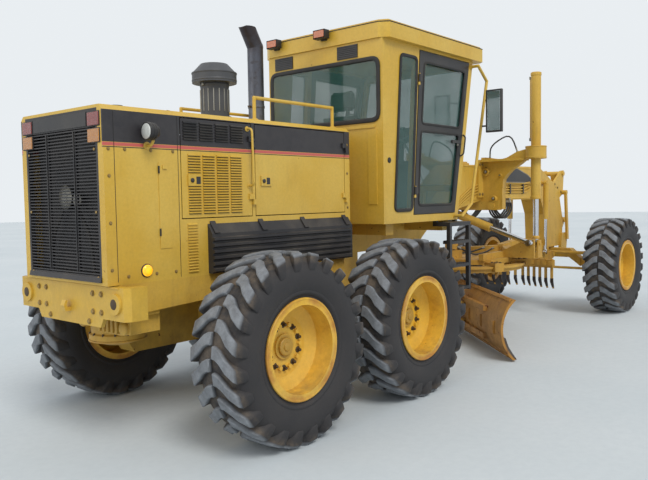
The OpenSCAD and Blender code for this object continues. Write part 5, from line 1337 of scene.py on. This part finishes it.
def dress_frames():
    """Bolts, cover plates, strips, pipes and plates on the frames and the saddle."""
    for side, sign in SIDES:
        places = [((TM - 0.90 + k * 0.25, sign * (HOOD_Y + 0.050), 1.172), (0, sign, 0)) for k in range(7)]
        bolts(f"cover_bolts_{side}", "rear_group", places, "dark_bolt", 0.010)
        # Cover plates of the tandem case, with their bolts
        t = Piece(f"tandem_trim_{side}", "rear_group", "frame", "dark_bolt")
        ty = sign * 0.804
        for dx in (-0.36, 0.0, 0.36):
            c = (TM + dx, ty, AXLE_Z + (0.03 if dx else 0.0))
            t.lathe([(0.115, -0.002), (0.115, 0.010), (0.100, 0.014), (0.03, 0.014)], c, (0, sign, 0), 32)
        t.finish = 1
        for dx in (-0.36, 0.0, 0.36):
            z = AXLE_Z + (0.03 if dx else 0)
            for a in turns(8, 0.5):
                c = (TM + dx + 0.092 * math.cos(a), ty + sign * 0.012, z + 0.092 * math.sin(a))
                t.lathe([(0.011, 0), (0.011, 0.007), (0.008, 0.009)], c, (0, sign, 0), 6)
        t.done(0.0015)
        # Bolts of the saddle's plate, and bands of the clamp round the lift cylinder
        rows = [((LIFT_X + dx, sign * (BEAM_Y + 0.030), z), (0, sign, 0)) for dx in (-0.14, -0.07, 0.10, 0.17)
                for z in (1.70, 2.07)]
        bolts(f"saddle_bolts_{side}", "front_group", rows, "bolt", 0.015)
        c = Piece(f"clamp_trim_{side}", "front_group", "frame")
        for z in (2.125, 2.250):
            c.lathe([(0.1215, 0), (0.1260, 0.003), (0.1260, 0.010), (0.1215, 0.013)],
                    (LIFT_X, sign * LIFT_Y, z), (0, 0, 1), 40)
        c.done(0.001)
    # Beam: welded strips, and pipes in their clips along both sides
    b = Piece("beam_trim", "front_group", "frame", "black")
    for sign in (-1, 1):
        y = sign * BEAM_Y
        b.finish = 0
        b.tube([(0.9, y, BEAM_Z1 - 0.035), (LIFT_X + 0.25, y, BEAM_Z1 - 0.03), (2.9, y, BEAM_Z1 - 0.03)],
               0.008, 6)
        b.tube([(1.0, y, BEAM_Z0 + 0.01), (LIFT_X, y, BEAM_Z0 + 0.016), (3.0, y, BEAM_Z0 + 0.018)], 0.008, 6)
        for k in range(4):
            z = BEAM_Z0 + 0.20 - 0.034 * k
            b.tube([(0.55, y + sign * 0.012, 1.50 - 0.03 * k), (0.80, y + sign * 0.012, 1.66 - 0.03 * k),
                    (1.05, y + sign * 0.012, z - 0.04), (1.23, y + sign * 0.012, z)], 0.009, 8, 0.06)
            b.tube([(1.62, y + sign * 0.012, z), (2.35 + 0.09 * k, y + sign * 0.012, z),
                    (2.75, y + sign * 0.012, 1.86 - 0.03 * k)], 0.009, 8, 0.06)
        b.finish = 1
        for x in (1.70, 2.10, 2.50):
            ys = sorted((y, y + sign * 0.026))
            b.block((x, ys[0], BEAM_Z0 + 0.08), (x + 0.03, ys[1], BEAM_Z0 + 0.22))
    b.done(0.001)
    # Blank three-cornered plate on each side of the beam, with its lighter edge
    n = Piece("beam_plates", "front_group", "black", "fitting", "frame")
    for sign in (-1, 1):
        y = sign * (BEAM_Y + 0.002)
        for t, key, out in ((0.0, 1, 0.003), (0.012, 0, 0.006)):
            n.finish = key
            n.prism([(1.60 + t, 1.850 + t), (2.96 - 3 * t, 1.850 + t), (2.70 - t, 1.965 - t),
                     (2.36, 2.050 - t), (1.60 + t, 2.050 - t)], "y", *sorted((y, y + sign * out)))
        n.finish = 2
        n.block((1.60, min(y, y + sign * 0.030), 1.836), (3.00, max(y, y + sign * 0.030), 1.846))
    n.done(0.001)
    places = [((NOSE_X + dx, sign * 0.150, 1.86 - 0.5 * dx), (0, sign, 0))
              for sign in (-1, 1) for dx in (0.05, 0.15, 0.28)]
    bolts("nose_bolts", "front_group", places, "bolt", 0.014)


dress_frames()


def hose(piece, points, r=0.013):
    """A hydraulic hose with a pressed fitting at each end, in a piece's first two finishes."""
    pts = [Vector(p) for p in points]
    piece.finish = 0
    piece.tube(pts, r, 10, 0.12)
    piece.finish = 1
    for a, b in ((pts[0], pts[1]), (pts[-1], pts[-2])):
        way = (b - a).normalized()
        piece.lathe([(r * 1.15, 0), (r * 1.45, 0.004), (r * 1.45, 0.020), (r * 1.15, 0.024),
                     (r * 1.2, 0.060)], a, way, 12)


def dress_hydraulics():
    """Hoses that stay on one body, with their unions, and glands on the cylinders."""
    h = Piece("frame_hoses", "front_group", "hose", "fitting", "frame")
    for sign in (-1, 1):
        for k in range(4):
            y = sign * (0.175 + 0.028 * k)
            hose(h, [(1.50, sign * 0.19, 1.64 - 0.01 * k), (1.50 + 0.02 * k, y, 1.47),
                     (1.72 + 0.02 * k, y, 1.36), (1.98 + 0.01 * k, y, 1.50),
                     (2.02, sign * (0.165 + 0.012 * k), 1.64)], 0.012)
        hose(h, [(CAB_X1 + 0.20, sign * 0.16, 1.52), (CAB_X1 + 0.34, sign * 0.30, 1.40),
                 (0.50, sign * 0.32, 1.42), (0.70, sign * 0.165, 1.56)], 0.014)
        hose(h, [(1.37, sign * 0.26, 2.145), (1.34, sign * 0.28, 2.30), (1.34, sign * 0.55, 2.44),
                 (1.37, sign * 0.63, 2.200)], 0.009)
        # Valve bosses on the back of the arm
        for y, z, r in ((0.225, 1.975, 0.048), (0.330, 1.640, 0.042), (0.420, 1.930, 0.020)):
            h.finish = 2
            c = (LIFT_X - 0.045, sign * y, z)
            h.lathe([(r, -0.012), (r, 0.030), (r * 0.9, 0.036), (r * 0.66, 0.036), (r * 0.62, 0.020),
                     (0.003, 0.020)], c, (-1, 0, 0), 28)
            h.finish = 1
            h.lathe([(r * 0.4, 0.018), (r * 0.4, 0.044), (r * 0.3, 0.048)], c, (-1, 0, 0), 6)
    h.done(0)
    for side, sign in SIDES:
        q = Piece(f"lift_cylinder_trim_{side}", f"lift_barrel_{side}", "frame", "fitting")
        c = (LIFT_X, sign * LIFT_Y, 0)
        q.lathe([(0.0585, 1.632), (0.066, 1.634), (0.066, 1.664), (0.0585, 1.668)], c, (0, 0, 1), 32)
        q.lathe([(0.0585, 3.095), (0.063, 3.100), (0.063, 3.132), (0.052, 3.139), (0.02, 3.139)], c,
                (0, 0, 1))
        q.tube([(LIFT_X, sign * (LIFT_Y - 0.067), 3.06), (LIFT_X, sign * (LIFT_Y - 0.067), 2.36)], 0.010, 8)
        q.finish = 1
        for z in (3.075, 2.345):
            q.block((LIFT_X - 0.018, sign * (LIFT_Y - 0.085) - 0.018, z - 0.018),
                    (LIFT_X + 0.018, sign * (LIFT_Y - 0.060) + 0.018, z + 0.018))
        q.done(0.0015)
        r = Piece(f"lift_rod_boot_{side}", f"lift_rod_{side}", "under")
        r.lathe([(0.034, 1.150), (0.044, 1.153), (0.044, 1.176), (0.034, 1.190)], c, (0, 0, 1), 24)
        r.done(0.001)


dress_hydraulics()

# Circle, blade, scarifier


def dress_circle():
    """Teeth of the circle, and the drawbar's bolts, drive motor, hoses and edge strips."""
    def tooth(p):
        p.prism([(0.641, -0.014), (0.662, -0.021), (0.662, 0.021), (0.641, 0.014)], "z", 0.776, 0.838)
    row_piece("circle_teeth", "blade_circle", unit_mesh("circle_tooth", tooth, 0.002), "under",
              Matrix.Translation((CIRCLE_X, 0, 0)), Count=64, Turn=2 * math.pi / 64,
              Turn_Axis=(0.0, 0.0, 1.0))
    places = []
    for a in (-62, 62, 118, 242):
        for r, t in ((0.70, -0.035), (0.70, 0.035), (0.76, -0.035), (0.76, 0.035)):
            ang = math.radians(a)
            x = CIRCLE_X + r * math.cos(ang) - t * math.sin(ang)
            places.append(((x, r * math.sin(ang) + t * math.cos(ang), 0.899), (0, 0, 1)))
    for a in turns(8):
        places.append(((MOTOR_X + 0.105 * math.cos(a), 0.105 * math.sin(a), 1.025), (0, 0, 1)))
    bolts("drawbar_bolts", "drawbar", places, "dark_bolt", 0.014)
    d = Piece("drawbar_trim", "drawbar", "hose", "fitting", "under")
    # Circle drive motor, its hoses, and edge strips along the arms
    d.finish = 2
    d.lathe([(0.075, 1.024), (0.080, 1.030), (0.080, 1.105), (0.066, 1.118), (0.03, 1.118)], (MOTOR_X, 0, 0),
            (0, 0, 1))
    for sign in (-1, 1):
        d.finish = 2
        d.tube([(CIRCLE_X + 0.34, sign * 0.50, 0.928), (2.25, sign * 0.085, 0.928)], 0.010, 6)
        hose(d, [(MOTOR_X, sign * 0.075, 1.06), (CIRCLE_X - 0.14, sign * 0.15, 1.00),
                 (CIRCLE_X + 0.05, sign * 0.15, 0.945), (CIRCLE_X + 0.42, sign * 0.10, 0.945),
                 (CIRCLE_X + 0.72, sign * 0.066, 0.985)], 0.011)
    d.done(0.001)


dress_circle()


def blade_arc(r, a):
    """A point on the blade's curve, at a radius and an angle above its middle."""
    return (BLADE_CX - r * math.cos(a), BLADE_CZ + r * math.sin(a))


def dress_blade():
    """Cutting edge with its bolts, end bits, ribs behind the blade, and the side-shift cylinder."""
    turn = Matrix.Translation((CIRCLE_X, 0, 0)) @ Matrix.Rotation(BLADE_TURN, 4, "Z")
    p = Piece("blade_cutting_edge", "blade", "edge", "blade")
    p.at = turn
    low = -math.asin(0.304 / BLADE_R)
    strip = [blade_arc(BLADE_R - 0.001, low + t * 0.44) for t in (0, 0.25, 0.5, 0.75, 1)]
    inner = [blade_arc(BLADE_R - 0.020, low + t * 0.44) for t in (1, 0.75, 0.5, 0.25, 0)]
    inner[-1] = (inner[-1][0], 0.022)
    for y0, y1 in ((0.014 - BLADE_HALF, -0.002), (0.002, BLADE_HALF - 0.014)):
        p.prism(strip + inner, "y", y0, y1)
    # End bits
    up = [blade_arc(BLADE_R - 0.001, low + t * 0.62) for t in (0, 0.3, 0.6, 1)]
    back = [blade_arc(BLADE_R - 0.024, low + t * 0.62) for t in (1, 0.6, 0.3, 0)]
    back[-1] = (back[-1][0], 0.022)
    for s in (-1, 1):
        p.prism(up + back, "y", *sorted((s * (BLADE_HALF - 0.015), s * (BLADE_HALF - 0.17))))
    # Stiffening ribs between the rails, and strips along the top and bottom behind
    p.finish = 1
    for y in (-1.62, -1.20, -0.78, -0.36, 0.0, 0.36, 0.78, 1.20, 1.62):
        outer = [blade_arc(BLADE_R + 0.042, t) for t in (-0.13, -0.06, 0.0, 0.06, 0.13)]
        near = [blade_arc(BLADE_R + 0.022, t) for t in (0.17, 0.08, 0.0, -0.08, -0.17)]
        p.prism(outer + near, "y", y - 0.011, y + 0.011)
    for a in (0.70, -0.66):
        p.prism([blade_arc(BLADE_R + 0.022, a), blade_arc(BLADE_R + 0.022, a + 0.09),
                 blade_arc(BLADE_R + 0.036, a + 0.08), blade_arc(BLADE_R + 0.036, a + 0.01)], "y",
                -BLADE_HALF + 0.04, BLADE_HALF - 0.04)
    p.done(0.002)
    unit = bolt_unit(0.015, 0.010)
    a = low + 0.23
    x, z = blade_arc(BLADE_R - 0.020, a)
    unit.transform(facing((x, -BLADE_HALF + 0.09, z), (math.cos(a), 0, -math.sin(a))))
    row_piece("edge_bolts", "blade", unit, "dark_bolt", turn, Count=24, Row_Length=24,
              Step=(0.0, 0.1517, 0.0))
    # Side-shift cylinder behind the blade
    c = Piece("blade_shift_cylinder", "blade_carrier", "blade", "hose", "fitting")
    c.at = turn
    xs, zc = -0.374, BLADE_CZ + 0.010
    c.bar((xs, -0.40, zc), (xs, 0.40, zc), 0.036)
    for y in (-0.40, 0.36):
        c.lathe([(0.042, 0), (0.042, 0.04)], (xs, y, zc), (0, 1, 0), 24)
        c.block((xs - 0.020, y, 0.240), (xs + 0.020, y + 0.04, zc))
    c.finish = 2
    for y in (-0.30, 0.30):
        c.block((xs - 0.060, y - 0.014, zc - 0.014), (xs - 0.028, y + 0.014, zc + 0.014))
    c.finish = 1
    c.tube([(xs - 0.052, -0.30, zc), (xs - 0.052, 0.30, zc)], 0.008, 8)
    c.done(0.0015)


dress_blade()


def dress_scarifier():
    """Dark points on the teeth, and their clamps on the bar."""
    p = Piece("scarifier_points", "scarifier", "tooth", "under")
    for k in range(11):
        y = -0.5 + 0.1 * k
        x = 2.872 - 0.160 * abs(y) / 0.5
        p.finish = 0
        p.prism([(x - 0.018, 0.520), (x + 0.028, 0.520), (x + 0.028, 0.485), (x + 0.062, 0.371),
                 (x - 0.018, 0.470)], "y", y - 0.0155, y + 0.0155)
        p.finish = 1
        p.block((x - 0.062, y - 0.022, 0.700), (x - 0.030, y + 0.022, 0.760))
        p.block((x + 0.026, y - 0.022, 0.690), (x + 0.060, y + 0.022, 0.770))
    p.done(0.002)


dress_scarifier()

# Floor, light and world


def make_stage():
    """A pale floor, a pale sky and two soft suns."""
    mat, tree, shader = tree_of("pale_floor")
    at = place_in(tree)
    patches = ramp(tree, noise(tree, at, 0.35, 6.0, 0.6), 0.3, 0.7)
    fine = noise(tree, at, 14.0, 6.0, 0.7)
    colour = blend_colours(tree, patches, srgb(196, 205, 210), srgb(207, 214, 218))
    colour = blend_colours(tree, ramp(tree, fine, 0.4, 0.7, 0.0, 0.3), colour, srgb(184, 193, 199))
    tree.links.new(colour, shader.inputs["Base Color"])
    shader.inputs["Roughness"].default_value = 0.85
    bm = bmesh.new()
    bmesh.ops.create_circle(bm, cap_ends=True, radius=60, segments=96)
    mesh = mesh_of("floor", bm)
    mesh.materials.append(mat)
    mesh.transform(Matrix.Translation((0, 0, -0.0005)))
    link("floor", mesh)
    world = bpy.data.worlds.new("pale_sky")
    bpy.context.scene.world = world
    world.use_nodes = True
    wt = world.node_tree
    wt.nodes.clear()
    rays = wt.nodes.new("ShaderNodeLightPath").outputs
    seen = calc(wt, "ADD", calc(wt, "ADD", rays["Is Camera Ray"], rays["Is Glossy Ray"]),
                rays["Is Transmission Ray"], clamp=True)
    pale = put(wt, "ShaderNodeBackground", {"Color": (0.86, 0.90, 0.93, 1), "Strength": 0.95})
    soft = put(wt, "ShaderNodeBackground", {"Color": (0.93, 0.96, 1.0, 1), "Strength": 0.62})
    mix = put(wt, "ShaderNodeMixShader", {0: seen, 1: soft.outputs[0], 2: pale.outputs[0]})
    out = wt.nodes.new("ShaderNodeOutputWorld")
    wt.links.new(mix.outputs[0], out.inputs["Surface"])
    for name, energy, angle, way in (("key_sun", 1.6, 24, (-0.35, -0.85, 1.0)),
                                     ("back_sun", 0.75, 60, (-1.0, 0.35, 0.5))):
        data = bpy.data.lights.new(name, "SUN")
        data.energy, data.angle = energy, math.radians(angle)
        data.color = (1.0, 0.97, 0.92)
        sun = link(name, data)
        sun.rotation_euler = Vector(way).to_track_quat("Z", "Y").to_euler()


make_stage()

bpy.context.scene.view_settings.view_transform = "Standard"

bpy.context.view_layer.update()
